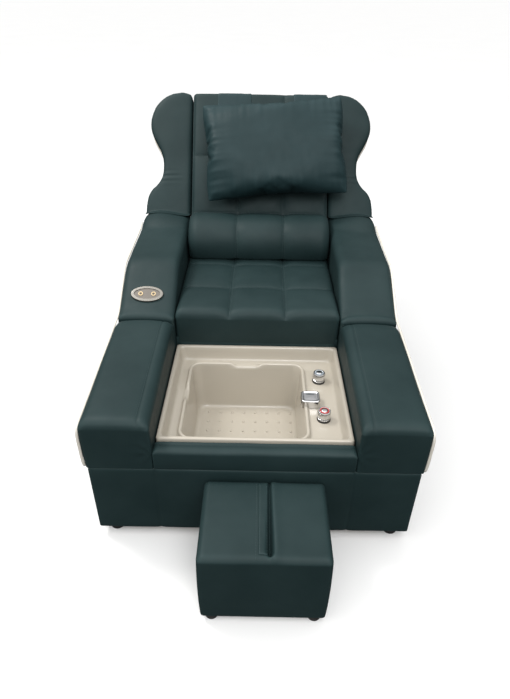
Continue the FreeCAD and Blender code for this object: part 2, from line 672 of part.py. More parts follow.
def recline_lever():
    """Torque tube with turned journals, a pair of lever plates and the pin that works in the rod's slot."""
    tube = along_x(-225.8, 225.8, PIVOT_Y, PIVOT_Z, TORQUE_TUBE_R)
    journals = along_x(-251, 251, PIVOT_Y, PIVOT_Z, PIN_R)
    across = V(0, math.cos(HALF_SWING), math.sin(HALF_SWING))
    hub = V(0, PIVOT_Y, PIVOT_Z)
    tip = V(0, LEVER_PIN_Y, LEVER_PIN_Z)
    corners = [hub + across * 18, tip + across * 14, tip - across * 14, hub - across * 18]
    outline = [(c.y, c.z) for c in corners]
    pieces = [tube, journals, along_x(-20, 20, LEVER_PIN_Y, LEVER_PIN_Z, LEVER_PIN_R)]
    for x in (LEVER_HALF, -LEVER_HALF - LEVER_PLATE):
        pieces.append(slab_yz(outline, x, x + LEVER_PLATE))
        pieces.append(along_x(x, x + LEVER_PLATE, LEVER_PIN_Y, LEVER_PIN_Z, 14))
    return pieces[0].multiFuse(pieces[1:]).removeSplitter()


def hinge_brackets():
    """Steel brackets on the seat bearers that carry the hinge pins."""
    x0, x1 = BRACKET_X
    plate = slab_yz([(PIVOT_Y - 40, BEARER_TOP), (PIVOT_Y - BRACKET_HEAD_R, PIVOT_Z),
                     (PIVOT_Y + BRACKET_HEAD_R, PIVOT_Z), (PIVOT_Y + 40, BEARER_TOP)], x0, x1)
    head = along_x(x0, x1, PIVOT_Y, PIVOT_Z, BRACKET_HEAD_R)
    flange = box(BEARER_X[0] + 2, x1, PIVOT_Y - 40, PIVOT_Y + 40, BEARER_TOP, BEARER_TOP + 5)
    bracket = plate.multiFuse([head, flange]).removeSplitter()
    return pair(bracket.cut(along_x(200, 300, PIVOT_Y, PIVOT_Z, PIN_HOLE_R)))


# --- Actuator ---------------------------------------------------------------------------------------


def actuator_bracket():
    """Clevis on the cross rail, with its pin."""
    z0, z1 = ACTUATOR_Z - 16, ACTUATOR_Z + 16
    foot_y = CROSS_RAIL_Y + RAIL
    base = box(-30, 30, foot_y, foot_y + 6, z0 - 12, z1)
    ears = [box(x, x + 5, foot_y + 6, ACTUATOR_BACK_Y + 14, z0, z1) for x in (12, -17)]
    pin = along_x(-17, 17, ACTUATOR_BACK_Y, ACTUATOR_Z, ACTUATOR_PIN_R)
    return base.multiFuse(ears + [pin]).removeSplitter()


def actuator_gearbox():
    front, rear = GEARBOX_Y
    half = 32
    body = box(-half, half, front, rear, ACTUATOR_Z - 75, ACTUATOR_Z + 28)
    body = softened(body, 6, lambda c: abs(c.x) > half - 1 and front + 10 < c.y < rear - 10)
    eye = box(-11, 11, ACTUATOR_BACK_Y - 12, front, ACTUATOR_Z - 12, ACTUATOR_Z + 12)
    pin_hole = along_x(-half, half, ACTUATOR_BACK_Y, ACTUATOR_Z, ACTUATOR_PIN_R + 0.05)
    return body.fuse(eye).cut(pin_hole).removeSplitter()


def actuator_motor():
    front = GEARBOX_Y[1] + 0.2
    motor = along_y(0, front, front + 149.8, ACTUATOR_Z - 46, MOTOR_R)
    return softened(motor, 4, lambda c: c.y > front + 140)


def actuator_tube():
    front = GEARBOX_Y[1] + 0.2
    tube = along_y(0, front, TUBE_END_Y, ACTUATOR_Z, TUBE_R)
    return tube.cut(along_y(0, front + 4.8, TUBE_END_Y + 5, ACTUATOR_Z, ROD_BORE_R))


def actuator_rod():
    """Push rod whose end block has an upright slot, which takes up the rise and fall of the lever's pin."""
    rod = along_y(0, 765, LEVER_PIN_Y - 10, ACTUATOR_Z, ROD_R)
    block = box(-12, 12, LEVER_PIN_Y - 18, LEVER_PIN_Y + 18, ACTUATOR_Z - 20, ACTUATOR_Z + 20)
    slot_half = LEVER_PIN_R + 0.8
    reach = LEVER * (1 - math.cos(HALF_SWING)) / 2 + 1
    y0, y1 = LEVER_PIN_Y - slot_half, LEVER_PIN_Y + slot_half
    slot = box(-20, 20, y0, y1, ACTUATOR_Z - reach, ACTUATOR_Z + reach)
    ends = [along_x(-20, 20, LEVER_PIN_Y, ACTUATOR_Z + s * reach, slot_half) for s in (-1, 1)]
    return rod.fuse(block).cut(slot.multiFuse(ends)).removeSplitter()


# --- Electrics --------------------------------------------------------------------------------------


def control_box():
    return softened(box(*CONTROL_BOX), 5, lambda c: c.z > CONTROL_BOX[5] - 2)


def inlet_hole():
    return box(INLET_X - 14, INLET_X + 14, BASE_LENGTH - 40, BASE_LENGTH + 20, INLET_Z - 10, INLET_Z + 10)


def inlet_block(half_x, half_z, y0, y1):
    return box(INLET_X - half_x, INLET_X + half_x, y0, y1, INLET_Z - half_z, INLET_Z + half_z)


def power_inlet():
    """Mains inlet with three blades, let into the rear panel."""
    flange = inlet_block(25, 14, BASE_LENGTH, BASE_LENGTH + 3)
    body = inlet_block(13.5, 9.5, BASE_LENGTH - 26, BASE_LENGTH)
    cavity = inlet_block(11, 7.5, BASE_LENGTH - 17, BASE_LENGTH + 5)
    blades = []
    for dx, dz in ((-7, -1), (0, 3), (7, -1)):
        blade = inlet_block(1, 2, BASE_LENGTH - 18, BASE_LENGTH - 4)
        blade.translate(V(dx, 0, dz))
        blades.append(blade)
    return flange.fuse(body).cut(cavity).multiFuse(blades).removeSplitter()


def wiring():
    """Leads from the inlet, the motor and the arm switch to the control box."""
    right, front, rear = CONTROL_BOX[1:4]
    mains = pipe([(INLET_X, BASE_LENGTH - 26, INLET_Z), (INLET_X, 950, INLET_Z), (INLET_X, 950, 92),
                  (INLET_X, rear, 92)], 20, 4)
    drive = pipe([(right, 740, 100), (-110, 740, 100), (-110, 740, 150), (0, 740, 150),
                  (0, 740, ACTUATOR_Z - 70)], 15, 3)
    signal = pipe([(-230, front, 95), (-230, 640, 95), (SWITCH_X, 640, 95), (SWITCH_X, 560, 95),
                   (SWITCH_X, 560, 368)], 20, 3)
    return Part.makeCompound([mains, drive, signal])


# --- Switch -----------------------------------------------------------------------------------------


def on_switch(shape):
    """Moves a shape from the switch's own axes, Z out of the arm's slope, to the chair's."""
    rise = SLOPE_HEAD[1] - SLOPE_FOOT[1]
    run = SLOPE_HEAD[0] - SLOPE_FOOT[0]
    placed = shape.copy()
    placed.rotate(V(0, 0, 0), X_AXIS, math.degrees(math.atan2(rise, run)))
    placed.translate(V(SWITCH_X, SWITCH_Y, SLOPE_FOOT[1] + (SWITCH_Y - SLOPE_FOOT[0]) * rise / run))
    return placed


def oval(half_x, half_y, z0, z1):
    ellipse = Part.Ellipse(V(0, 0, z0), half_x, half_y)
    return Part.Face(Part.Wire([ellipse.toShape()])).extrude(V(0, 0, z1 - z0))


def switch_bezel():
    ring = oval(*BEZEL_HALF, 0.2, 5.5)
    ring = softened(ring, 2.5, lambda c: c.z > 5)
    return on_switch(ring.cut(oval(BEZEL_HALF[0] - 10, BEZEL_HALF[1] - 9, -5, 10)))


def switch_panel():
    """The switch's cup: an oval face that both buttons come through, and the box behind it."""
    cup = oval(BEZEL_HALF[0] - 10.2, BEZEL_HALF[1] - 9.2, -22, 3.5)
    cup = cup.cut(oval(BEZEL_HALF[0] - 13, BEZEL_HALF[1] - 12, -19, 0.5))
    for x in (-BUTTON_X, BUTTON_X):
        cup = cup.cut(upright(x, 0, 0, 10, BUTTON_GAP_R))
    return on_switch(cup)


def recline_button(x):
    cap = softened(upright(x, 0, -5, 5.5, BUTTON_R), 1.2, lambda c: c.z > 5)
    skirt = upright(x, 0, -5, -3, 9)
    cap = cap.cut(upright(x, 0, 4.6, 8, 3))
    return on_switch(cap.fuse(skirt).removeSplitter())


# --- Head pillow ------------------------------------------------------------------------------------


def pillow_slice(grow_x, grow_z, depth):
    """One rounded rectangle of the pillow, in its own plane, grown or shrunk about the pillow's middle."""
    half_x = PILLOW_SIZE[0] / 2 + grow_x
    half_z = PILLOW_SIZE[1] / 2 + grow_z
    return rounded_rectangle(-half_x, half_x, -half_z, half_z, 30, -depth)


def head_pillow():
    front, rear = PILLOW_DEPTH
    middle = (front + rear) / 2
    halves = [Part.makeLoft([pillow_slice(0, 0, middle), pillow_slice(-95, -85, depth)], True)
              for depth in (front, rear)]
    pillow = halves[0].fuse(halves[1]).removeSplitter()
    pillow.rotate(V(0, 0, 0), Z_AXIS, PILLOW_TURN)
    pillow.rotate(V(0, 0, 0), X_AXIS, 90)
    pillow.translate(V(PILLOW_CENTRE[0], 0, PILLOW_CENTRE[1]))
    return from_back(pillow)


def pillow_straps():
    """Two wide bands from behind the pillow over the top of the back."""
    bands = []
    gap = 0.8
    front, rear = -gap - STRAP_THICK, COVER_DEPTH[1] + gap
    for x0, x1 in STRAPS:
        band = box(x0, x1, front, rear + STRAP_THICK, STRAP_LEG, BACK_TOP + gap + STRAP_THICK)
        bands.append(from_back(band.cut(box(x0 - 1, x1 + 1, -gap, rear, 0, BACK_TOP + gap))))
    return Part.makeCompound(bands)


# --- Footstool --------------------------------------------------------------------------------------


def stool_core():
    """Plywood carcass, open at the bottom: four walls and a top."""
    x0, x1 = STOOL_X - STOOL_CORE_HALF, STOOL_X + STOOL_CORE_HALF
    y0, y1 = STOOL_FRONT + STOOL_PAD, STOOL_REAR - STOOL_PAD
    under = STOOL_CORE_TOP - PLY
    boards = [box(x, x + PLY, y0, y1, STOOL_BOTTOM, under) for x in (x0, x1 - PLY)]
    boards += [box(x0 + PLY, x1 - PLY, y, y + PLY, STOOL_BOTTOM, under) for y in (y0, y1 - PLY)]
    boards.append(box(x0, x1, y0, y1, under, STOOL_CORE_TOP))
    return Part.makeCompound(boards)


def stool_cover():
    pad = box(STOOL_X - STOOL_HALF, STOOL_X + STOOL_HALF, STOOL_FRONT, STOOL_REAR, STOOL_BOTTOM, STOOL_TOP)
    pad = softened(pad, 14, lambda c: 100 < c.z < STOOL_TOP - 5)
    pad = softened(pad, 13, lambda c: c.z > STOOL_TOP - 5)
    gap = 0.2
    half = STOOL_CORE_HALF + gap
    inset = STOOL_PAD - gap
    return pad.cut(box(STOOL_X - half, STOOL_X + half, STOOL_FRONT + inset, STOOL_REAR - inset,
                       STOOL_BOTTOM, STOOL_CORE_TOP + gap))


def stool_pleat():
    """Double-stitched strip that runs from front to back over the stool's top."""
    strip = box(STOOL_X - 15, STOOL_X + 8, STOOL_FRONT + 14, STOOL_REAR - 14,
                STOOL_TOP + 0.1, STOOL_TOP + 4)
    return softened(strip, 1.5, lambda c: c.z > STOOL_TOP + 3)


def stool_feet():
    rows = (STOOL_FRONT + STOOL_FOOT_INSET, STOOL_REAR - STOOL_FOOT_INSET)
    places = [(STOOL_X + side * STOOL_FOOT_X, y) for side in (-1, 1) for y in rows]
    return Part.makeCompound([foot(x, y, STOOL_FOOT_R, STOOL_BOTTOM) for x, y in places])


NODES = {
    "base_frame": base_frame,
    "deck_board": deck_board,
    "front_panel": front_panel,
    "side_panel_left": lambda: mirrored(side_panel_right()),
    "side_panel_right": side_panel_right,
    "rear_panel": rear_panel,
    "base_feet": base_feet,
    "front_apron": front_apron,
    "front_arm_left": lambda: mirrored(front_arm_right()),
    "front_arm_right": front_arm_right,
    "upper_arm_left": upper_arm_left,
    "upper_arm_right": upper_arm_right,
    "arm_core_left": lambda: mirrored(arm_core_right()),
    "arm_core_right": arm_core_right,
    "arm_piping": arm_piping,
    "seat_bearers": seat_bearers,
    "seat_deck": seat_deck,
    "seat_cushion": seat_cushion,
    "basin": basin,
    "drain_flange": drain_flange,
    "drain_nut": drain_nut,
    "drain_pipe": drain_pipe,
    "drain_stopper": drain_stopper,
    "spout": spout,
    "mixing_pipe": mixing_pipe,
    "water_valves": lambda: Part.makeCompound([valve(HOT_Y), valve(COLD_Y)]),
    "valve_seals": valve_seals,
    "supply_pipes": supply_pipes,
    "hot_knob": lambda: knob(HOT_Y),
    "hot_index": lambda: knob_index(HOT_Y),
    "cold_knob": lambda: knob(COLD_Y),
    "cold_index": lambda: knob_index(COLD_Y),
    "back_cushion": back_cushion,
    "back_frame": back_frame,
    "back_cover": back_cover,
    "wing_left": lambda: mirrored(wing_right()),
    "wing_right": wing_right,
    "wing_piping": wing_piping,
    "lumbar_bolster": lumbar_bolster,
    "side_plates": side_plates,
    "recline_lever": recline_lever,
    "hinge_brackets": hinge_brackets,
    "actuator_bracket": actuator_bracket,
    "actuator_gearbox": actuator_gearbox,
    "actuator_motor": actuator_motor,
    "actuator_tube": actuator_tube,
    "actuator_rod": actuator_rod,
    "control_box": control_box,
    "power_inlet": power_inlet,
    "wiring": wiring,
    "switch_bezel": switch_bezel,
    "switch_panel": switch_panel,
    "recline_button_up": lambda: recline_button(BUTTON_X),
    "recline_button_down": lambda: recline_button(-BUTTON_X),
    "head_pillow": head_pillow,
    "pillow_straps": pillow_straps,
    "stool_core": stool_core,
    "stool_cover": stool_cover,
    "stool_pleat": stool_pleat,
    "stool_feet": stool_feet,
}

os.makedirs("parts", exist_ok=True)
bounds = FreeCAD.BoundBox()
for name, make in NODES.items():
    shape = make()
    shape.translate(V(0, -ROW_SHIFT_Y, 0))
    shape.exportStep("parts/" + name + ".step")
    bounds.add(shape.BoundBox)
    print(name, len(shape.Solids), shape.isValid(), round(shape.Volume))
print("nodes", len(NODES), "box", bounds, "middle Y", bounds.Center.y)
print("pivot", PIVOT_Y - ROW_SHIFT_Y, PIVOT_Z, "travel", 2 * LEVER * math.sin(HALF_SWING))
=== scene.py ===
import json
import math

import bmesh
import bpy
import numpy as np
from mathutils import Matrix, Vector, noise
from mathutils.bvhtree import BVHTree


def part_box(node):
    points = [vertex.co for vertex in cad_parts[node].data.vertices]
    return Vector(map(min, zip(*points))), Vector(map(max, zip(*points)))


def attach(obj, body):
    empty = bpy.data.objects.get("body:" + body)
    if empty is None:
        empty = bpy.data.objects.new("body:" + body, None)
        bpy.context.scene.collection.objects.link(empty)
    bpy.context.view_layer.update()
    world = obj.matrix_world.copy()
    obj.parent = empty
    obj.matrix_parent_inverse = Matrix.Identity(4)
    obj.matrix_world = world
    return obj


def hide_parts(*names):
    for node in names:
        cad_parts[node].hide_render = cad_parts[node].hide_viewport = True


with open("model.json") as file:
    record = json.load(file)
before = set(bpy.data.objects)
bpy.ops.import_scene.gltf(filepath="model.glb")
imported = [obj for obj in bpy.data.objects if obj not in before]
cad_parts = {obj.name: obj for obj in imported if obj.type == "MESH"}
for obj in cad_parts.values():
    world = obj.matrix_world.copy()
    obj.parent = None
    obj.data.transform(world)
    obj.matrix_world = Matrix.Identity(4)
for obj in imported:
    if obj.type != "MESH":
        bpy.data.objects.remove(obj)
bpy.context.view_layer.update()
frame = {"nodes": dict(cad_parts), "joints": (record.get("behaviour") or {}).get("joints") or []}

# Places that the whole script shares, in metres in the row's frame
FRONT_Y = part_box("front_panel")[0].y
LEAN = math.radians(34.2)
BACK_ORIGIN = Vector((0, FRONT_Y + 1.002, 0.565))
BACK = Matrix.Translation(BACK_ORIGIN) @ Matrix.Rotation(-LEAN, 4, "X")
JOINTS = {j["name"]: j for j in frame["joints"]}
PIVOT = Vector(JOINTS["backrest_recline"]["pos_m"])
SEAT_SEAMS_X = (-0.087, 0.087)
SEAT_ROWS_Y = (FRONT_Y + 0.641, FRONT_Y + 0.812)
BACK_SEAMS_X = (-0.079, 0.088)
BACK_ROWS = (0.0, 0.212)
SIDES = ((-1, "left"), (1, "right"))
DOWN = (0, 0, -1)

# The camera: its place in front of the base and above the floor, and its turns in degrees
LENS_MM = 28.43
SENSOR_MM = 36
CAMERA_AHEAD, CAMERA_UP = 0.983, 1.299
CAMERA_TURNS = ((0.22, "Z"), (90 - 34.2, "X"), (0.9, "Z"))

# The studio: a wide floor just under the feet, and a dome whose brightest point is this way
FLOOR_RADIUS, FLOOR_Z = 60, -0.0005
DOME_TOP = (-0.10, -0.27, 0.957)
DOME_LEVELS = ((0.0, 0.05), (0.22, 0.10), (0.55, 0.55), (0.85, 1.0))
DOME_STRENGTH = 1.75


# --- Camera, floor and light ---


def make_camera():
    data = bpy.data.cameras.new("camera")
    data.lens = LENS_MM
    data.sensor_width = SENSOR_MM
    camera = bpy.data.objects.new("camera", data)
    bpy.context.scene.collection.objects.link(camera)
    turn, tilt, roll = (Matrix.Rotation(math.radians(angle), 4, axis) for angle, axis in CAMERA_TURNS)
    place = Matrix.Translation((0, FRONT_Y - CAMERA_AHEAD, CAMERA_UP))
    camera.matrix_world = place @ turn @ tilt @ roll
    bpy.context.scene.camera = camera


def make_floor():
    bpy.ops.mesh.primitive_circle_add(vertices=96, radius=FLOOR_RADIUS, fill_type="NGON",
                                      location=(0, 0, FLOOR_Z))
    floor = bpy.context.object
    floor.name = "floor"
    floor.data.materials.append(plain("floor_white", (0.9, 0.9, 0.895), 0.7))
    floor.visible_diffuse = False
    floor.visible_glossy = False


def make_light(name, place, aim, size, power, colour=(1, 1, 1)):
    data = bpy.data.lights.new(name, "AREA")
    data.shape = "DISK"
    data.size = size
    data.energy = power
    data.color = colour
    lamp = bpy.data.objects.new(name, data)
    lamp.location = place
    lamp.rotation_euler = (Vector(aim) - Vector(place)).to_track_quat("-Z", "Y").to_euler()
    bpy.context.scene.collection.objects.link(lamp)


def fill_ramp(node, stops):
    """Sets a colour ramp's stops, each a position and a colour."""
    elements = node.color_ramp.elements
    while len(elements) < len(stops):
        elements.new(0.5)
    for element, (position, colour) in zip(elements, stops):
        element.position = position
        element.color = (*colour, 1)


def make_world():
    """A studio dome: bright overhead and a little to the front, dim towards the horizon and below it."""
    world = bpy.data.worlds.new("world")
    world.use_nodes = True
    tree = world.node_tree
    place = tree.nodes.new("ShaderNodeTexCoord")
    towards = tree.nodes.new("ShaderNodeVectorMath")
    towards.operation = "DOT_PRODUCT"
    towards.inputs[1].default_value = DOME_TOP
    ramp = tree.nodes.new("ShaderNodeValToRGB")
    tree.links.new(place.outputs["Generated"], towards.inputs[0])
    tree.links.new(towards.outputs["Value"], ramp.inputs["Fac"])
    tree.links.new(ramp.outputs["Color"], tree.nodes["Background"].inputs["Color"])
    fill_ramp(ramp, [(position, [level] * 3) for position, level in DOME_LEVELS])
    tree.nodes["Background"].inputs["Strength"].default_value = DOME_STRENGTH
    bpy.context.scene.world = world
    bpy.context.scene.view_settings.view_transform = "Standard"


def make_lights():
    make_world()
    make_light("key", (-1.7, 0.4, 3.0), (0.05, -0.1, 0.35), 0.7, 42, (1.0, 0.985, 0.96))
    make_light("fill", (0.5, -2.7, 3.3), (0, 0.2, 0.5), 1.6, 42)


# --- Materials ---


class Nodes:
    """A short way to write a material's node tree."""

    def __init__(self, name):
        self.material = bpy.data.materials.new(name)
        self.material.use_nodes = True
        self.tree = self.material.node_tree
        self.shader = self.tree.nodes["Principled BSDF"]
        self.place = self.add("ShaderNodeTexCoord").outputs["Object"]

    def add(self, kind, inputs=None, **settings):
        node = self.tree.nodes.new(kind)
        for key, value in settings.items():
            setattr(node, key, value)
        for key, value in (inputs or {}).items():
            if isinstance(value, bpy.types.NodeSocket):
                self.tree.links.new(value, node.inputs[key])
            else:
                node.inputs[key].default_value = value
        return node

    def noise(self, scale, detail=3.0, rough=0.5, place=None):
        inputs = {"Vector": place or self.place, "Scale": scale, "Detail": detail, "Roughness": rough}
        return self.add("ShaderNodeTexNoise", inputs).outputs["Fac"]

    def ramp(self, value, stops):
        node = self.add("ShaderNodeValToRGB", {"Fac": value})
        fill_ramp(node, stops)
        return node.outputs["Color"]

    def spread(self, value, low, high):
        inputs = {"Value": value, "To Min": low, "To Max": high}
        return self.add("ShaderNodeMapRange", inputs).outputs["Result"]

    def math(self, operation, a, b):
        return self.add("ShaderNodeMath", {0: a, 1: b}, operation=operation).outputs["Value"]

    def mix(self, factor, a, b):
        node = self.add("ShaderNodeMix", data_type="RGBA")
        for index, value in ((0, factor), (6, a), (7, b)):
            if isinstance(value, bpy.types.NodeSocket):
                self.tree.links.new(value, node.inputs[index])
            else:
                node.inputs[index].default_value = value if index == 0 else (*value, 1)
        return node.outputs[2]

    def bump(self, height, distance, strength=1.0, before=None):
        inputs = {"Height": height, "Distance": distance, "Strength": strength}
        if before:
            inputs["Normal"] = before
        return self.add("ShaderNodeBump", inputs).outputs["Normal"]

    def finish(self, **sockets):
        for key, value in sockets.items():
            name = key.replace("_", " ").title().replace("Ior", "IOR")
            target = self.shader.inputs[name]
            if isinstance(value, bpy.types.NodeSocket):
                self.tree.links.new(value, target)
            elif target.type == "RGBA":
                target.default_value = (*value, 1)
            else:
                target.default_value = value
        return self.material


def plain(name, colour, roughness):
    """A painted studio surface with a faint unevenness."""
    n = Nodes(name)
    colours = n.ramp(n.noise(1.3), [(0.3, [c * 0.985 for c in colour]), (0.7, colour)])
    return n.finish(base_color=colours, roughness=roughness)


def leather(name, dark, light, gloss=0.52):
    """Synthetic leather: pebbled grain, soft creases, uneven dye, and a painted sheen highlight of paler colour
    along its convex edges.
    """
    n = Nodes(name)
    cells = n.add("ShaderNodeTexVoronoi", {"Vector": n.place, "Scale": 620.0, "Randomness": 1.0},
                  feature="DISTANCE_TO_EDGE").outputs["Distance"]
    pebbles = n.spread(cells, 0.0, 1.0)
    fine = n.noise(1500.0, 2.0)
    creases = n.noise(34.0, 4.0, 0.62)
    broad = n.noise(5.5, 3.0, 0.55)
    # Painted highlight: convex edges, found by pointiness, are mixed towards a paler colour to stand in for the
    # sheen that light leaves there.
    edge = n.add("ShaderNodeNewGeometry").outputs["Pointiness"]
    sheen_range = {"Value": edge, "From Min": 0.505, "From Max": 0.56}
    painted_sheen = n.add("ShaderNodeMapRange", sheen_range).outputs["Result"]
    dye = n.ramp(broad, [(0.35, dark), (0.68, light)])
    dye_and_painted_sheen = n.mix(n.math("MULTIPLY", painted_sheen, 0.35), dye, [min(1, c * 1.9 + 0.006) for c in light])
    normal = n.bump(pebbles, 0.00035, 0.35)
    normal = n.bump(fine, 0.0001, 0.25, normal)
    normal = n.bump(creases, 0.0016, 0.28, normal)
    unevenness = n.math("ADD", creases, n.math("MULTIPLY", pebbles, 0.3))
    roughness = n.spread(unevenness, gloss - 0.07, gloss + 0.12)
    return n.finish(base_color=dye_and_painted_sheen, roughness=roughness, normal=normal, specular_ior_level=0.2)


def acrylic(name, colour):
    """Glossy moulded acrylic with a faint orange-peel surface and fine use marks."""
    n = Nodes(name)
    shade = n.ramp(n.noise(7.0), [(0.3, [c * 0.96 for c in colour]), (0.7, colour)])
    marks = n.add("ShaderNodeMapping", {"Vector": n.place, "Scale": (14.0, 90.0, 60.0)}).outputs["Vector"]
    scratches = n.noise(26.0, 2.0, 0.5, marks)
    normal = n.bump(n.noise(240.0, 1.0), 0.0002, 0.12)
    return n.finish(base_color=shade, roughness=n.spread(scratches, 0.16, 0.3), normal=normal, coat_weight=0.35,
                    coat_roughness=0.08)


def metal(name, colour, low, high, stretch=(1, 1, 1), bump=0.0):
    """Metal with fine directional marks: stretch draws them out along an axis."""
    n = Nodes(name)
    place = n.add("ShaderNodeMapping", {"Vector": n.place, "Scale": stretch}).outputs["Vector"]
    marks = n.noise(420.0, 3.0, 0.6, place)
    colours = n.ramp(marks, [(0.2, [c * 0.93 for c in colour]), (0.8, colour)])
    normal = n.bump(marks, 0.00008, bump)
    return n.finish(base_color=colours, metallic=1.0, roughness=n.spread(marks, low, high), normal=normal)


def moulded(name, colour, roughness, grain=900.0):
    """Moulded plastic or rubber with a spark-eroded texture."""
    n = Nodes(name)
    texture = n.noise(grain, 2.0)
    colours = n.ramp(n.noise(18.0), [(0.3, [c * 0.9 for c in colour]), (0.7, colour)])
    normal = n.bump(texture, 0.00012, 0.35)
    return n.finish(base_color=colours, roughness=n.spread(texture, roughness - 0.06, roughness + 0.06),
                    normal=normal)


def wood(name, dark, light, stretch):
    """Planed timber: grain drawn out along one axis."""
    n = Nodes(name)
    place = n.add("ShaderNodeMapping", {"Vector": n.place, "Scale": stretch}).outputs["Vector"]
    rings = n.noise(9.0, 5.0, 0.65, place)
    pores = n.noise(160.0, 2.0, 0.5, place)
    colours = n.ramp(n.math("ADD", n.math("MULTIPLY", rings, 0.8), n.math("MULTIPLY", pores, 0.2)),
                     [(0.35, dark), (0.62, light)])
    return n.finish(base_color=colours, roughness=n.spread(rings, 0.5, 0.7), normal=n.bump(pores, 0.0003, 0.4))


LEATHER = leather("petrol_leather", (0.012, 0.0265, 0.0275), (0.0175, 0.035, 0.036))
SOFT_LEATHER = leather("petrol_leather_soft", (0.0125, 0.031, 0.034), (0.0185, 0.040, 0.044), 0.5)
THREAD = moulded("petrol_thread", (0.030, 0.056, 0.058), 0.65, 2500.0)
CREAM = leather("cream_piping", (0.62, 0.57, 0.47), (0.74, 0.69, 0.58), 0.45)
ACRYLIC = acrylic("cream_acrylic", (0.47, 0.43, 0.36))
CHROME = metal("chrome", (0.70, 0.70, 0.71), 0.05, 0.14)
SATIN_CHROME = metal("satin_chrome", (0.22, 0.21, 0.19), 0.25, 0.4, (1, 12, 1), 0.3)
BRASS = metal("brass", (0.72, 0.53, 0.24), 0.25, 0.42, (1, 6, 1), 0.4)
STEEL = metal("bright_steel", (0.58, 0.58, 0.59), 0.2, 0.36, (8, 1, 8), 0.5)
ALUMINIUM = metal("aluminium", (0.72, 0.73, 0.74), 0.28, 0.42, (8, 1, 8), 0.5)
BLACK_STEEL = moulded("black_powder_coat", (0.018, 0.018, 0.019), 0.45, 1400.0)
BLACK_PLASTIC = moulded("black_plastic", (0.02, 0.02, 0.021), 0.5)
GREY_PLASTIC = moulded("grey_plastic", (0.15, 0.13, 0.11), 0.42)
RUBBER = moulded("black_rubber", (0.012, 0.012, 0.012), 0.62, 600.0)
TIMBER = wood("timber", (0.36, 0.22, 0.11), (0.62, 0.45, 0.26), (6, 0.6, 6))
PLYWOOD = wood("plywood", (0.50, 0.36, 0.20), (0.68, 0.53, 0.34), (1.2, 5, 22))
RED = moulded("index_red", (0.50, 0.05, 0.045), 0.3)
GREY_BLUE = moulded("index_grey", (0.33, 0.38, 0.42), 0.3)
GOLD = moulded("button_gold", (0.80, 0.62, 0.36), 0.28)
DARK = moulded("button_dark", (0.06, 0.045, 0.03), 0.35)

NODE_MATERIALS = {
    TIMBER: ("base_frame", "seat_bearers", "back_frame"),
    PLYWOOD: ("deck_board", "arm_core_left", "arm_core_right", "seat_deck", "stool_core"),
    BRASS: ("drain_nut", "mixing_pipe", "water_valves", "supply_pipes"),
    CHROME: ("drain_flange", "drain_stopper"),
    GREY_PLASTIC: ("drain_pipe", "switch_panel"),
    SATIN_CHROME: ("switch_bezel",),
    RUBBER: ("valve_seals", "wiring"),
    BLACK_STEEL: ("side_plates", "recline_lever", "hinge_brackets", "actuator_bracket", "actuator_motor"),
    BLACK_PLASTIC: ("actuator_gearbox", "control_box", "power_inlet"),
    STEEL: ("actuator_rod",),
    ALUMINIUM: ("actuator_tube",),
    RED: ("hot_index",),
    GREY_BLUE: ("cold_index",),
}


def paint_nodes():
    for material, names in NODE_MATERIALS.items():
        for name in names:
            slots = frame["nodes"][name].data.materials
            slots.clear()
            slots.append(material)


# --- Mesh helpers ---


def new_object(name, vertices, faces, material, smooth=True):
    mesh = bpy.data.meshes.new(name)
    mesh.from_pydata([tuple(v) for v in vertices], [], faces)
    mesh.update()
    made = bpy.data.objects.new(name, mesh)
    bpy.context.scene.collection.objects.link(made)
    mesh.materials.append(material)
    if smooth:
        mesh.polygons.foreach_set("use_smooth", [True] * len(mesh.polygons))
    return made


def recalculated(piece):
    """Turns every face outwards."""
    shape = bmesh.new()
    shape.from_mesh(piece.data)
    bmesh.ops.recalc_face_normals(shape, faces=shape.faces)
    shape.to_mesh(piece.data)
    shape.free()


def closed_object(name, vertices, faces, material):
    """A new object whose faces all turn outwards."""
    made = new_object(name, vertices, faces, material)
    recalculated(made)
    return made


def points_of(piece):
    co = np.empty(len(piece.data.vertices) * 3, np.float32)
    piece.data.vertices.foreach_get("co", co)
    return co.reshape(-1, 3).astype(float)


def set_points(piece, co):
    piece.data.vertices.foreach_set("co", co.astype(np.float32).ravel())
    piece.data.update()


def columns_of(piece):
    """The mesh's points, and its X, Y and Z columns, which are views of them."""
    co = points_of(piece)
    return co, *co.T


def subdivided(piece):
    """Applies a subdivision surface, and any modifier before it, to the mesh."""
    modifier = piece.modifiers.new("subdivision", "SUBSURF")
    modifier.levels = 1
    modifier.render_levels = 1
    return applied(piece)


def covered(piece, columns, body, node, fill, place=None, slot="upholstery"):
    """Puts the moved points back, smooths the piece, sets it in its place and dresses it."""
    set_points(piece, np.stack(columns, 1))
    subdivided(piece)
    if place:
        piece.data.transform(place)
    return dress(piece, body, slot, node, fill=fill)


def loft(rows, count, start=0, closed=True, capped=True):
    """Faces between rows of points with the same count in each, and a cap on both ends."""
    faces = []
    for k in range(rows - 1):
        here, above = start + k * count, start + (k + 1) * count
        for i in range(count if closed else count - 1):
            j = (i + 1) % count
            faces.append((here + i, here + j, above + j, above + i))
    if capped:
        faces.append(tuple(start + i for i in range(count))[::-1])
        faces.append(tuple(start + (rows - 1) * count + i for i in range(count)))
    return faces


def applied(piece):
    bpy.context.view_layer.update()
    shown = piece.evaluated_get(bpy.context.evaluated_depsgraph_get())
    mesh = bpy.data.meshes.new_from_object(shown)
    piece.modifiers.clear()
    piece.data = mesh
    return piece


def smooth_step(value, low, high):
    t = np.clip((value - low) / (high - low), 0, 1)
    return t * t * (3 - 2 * t)


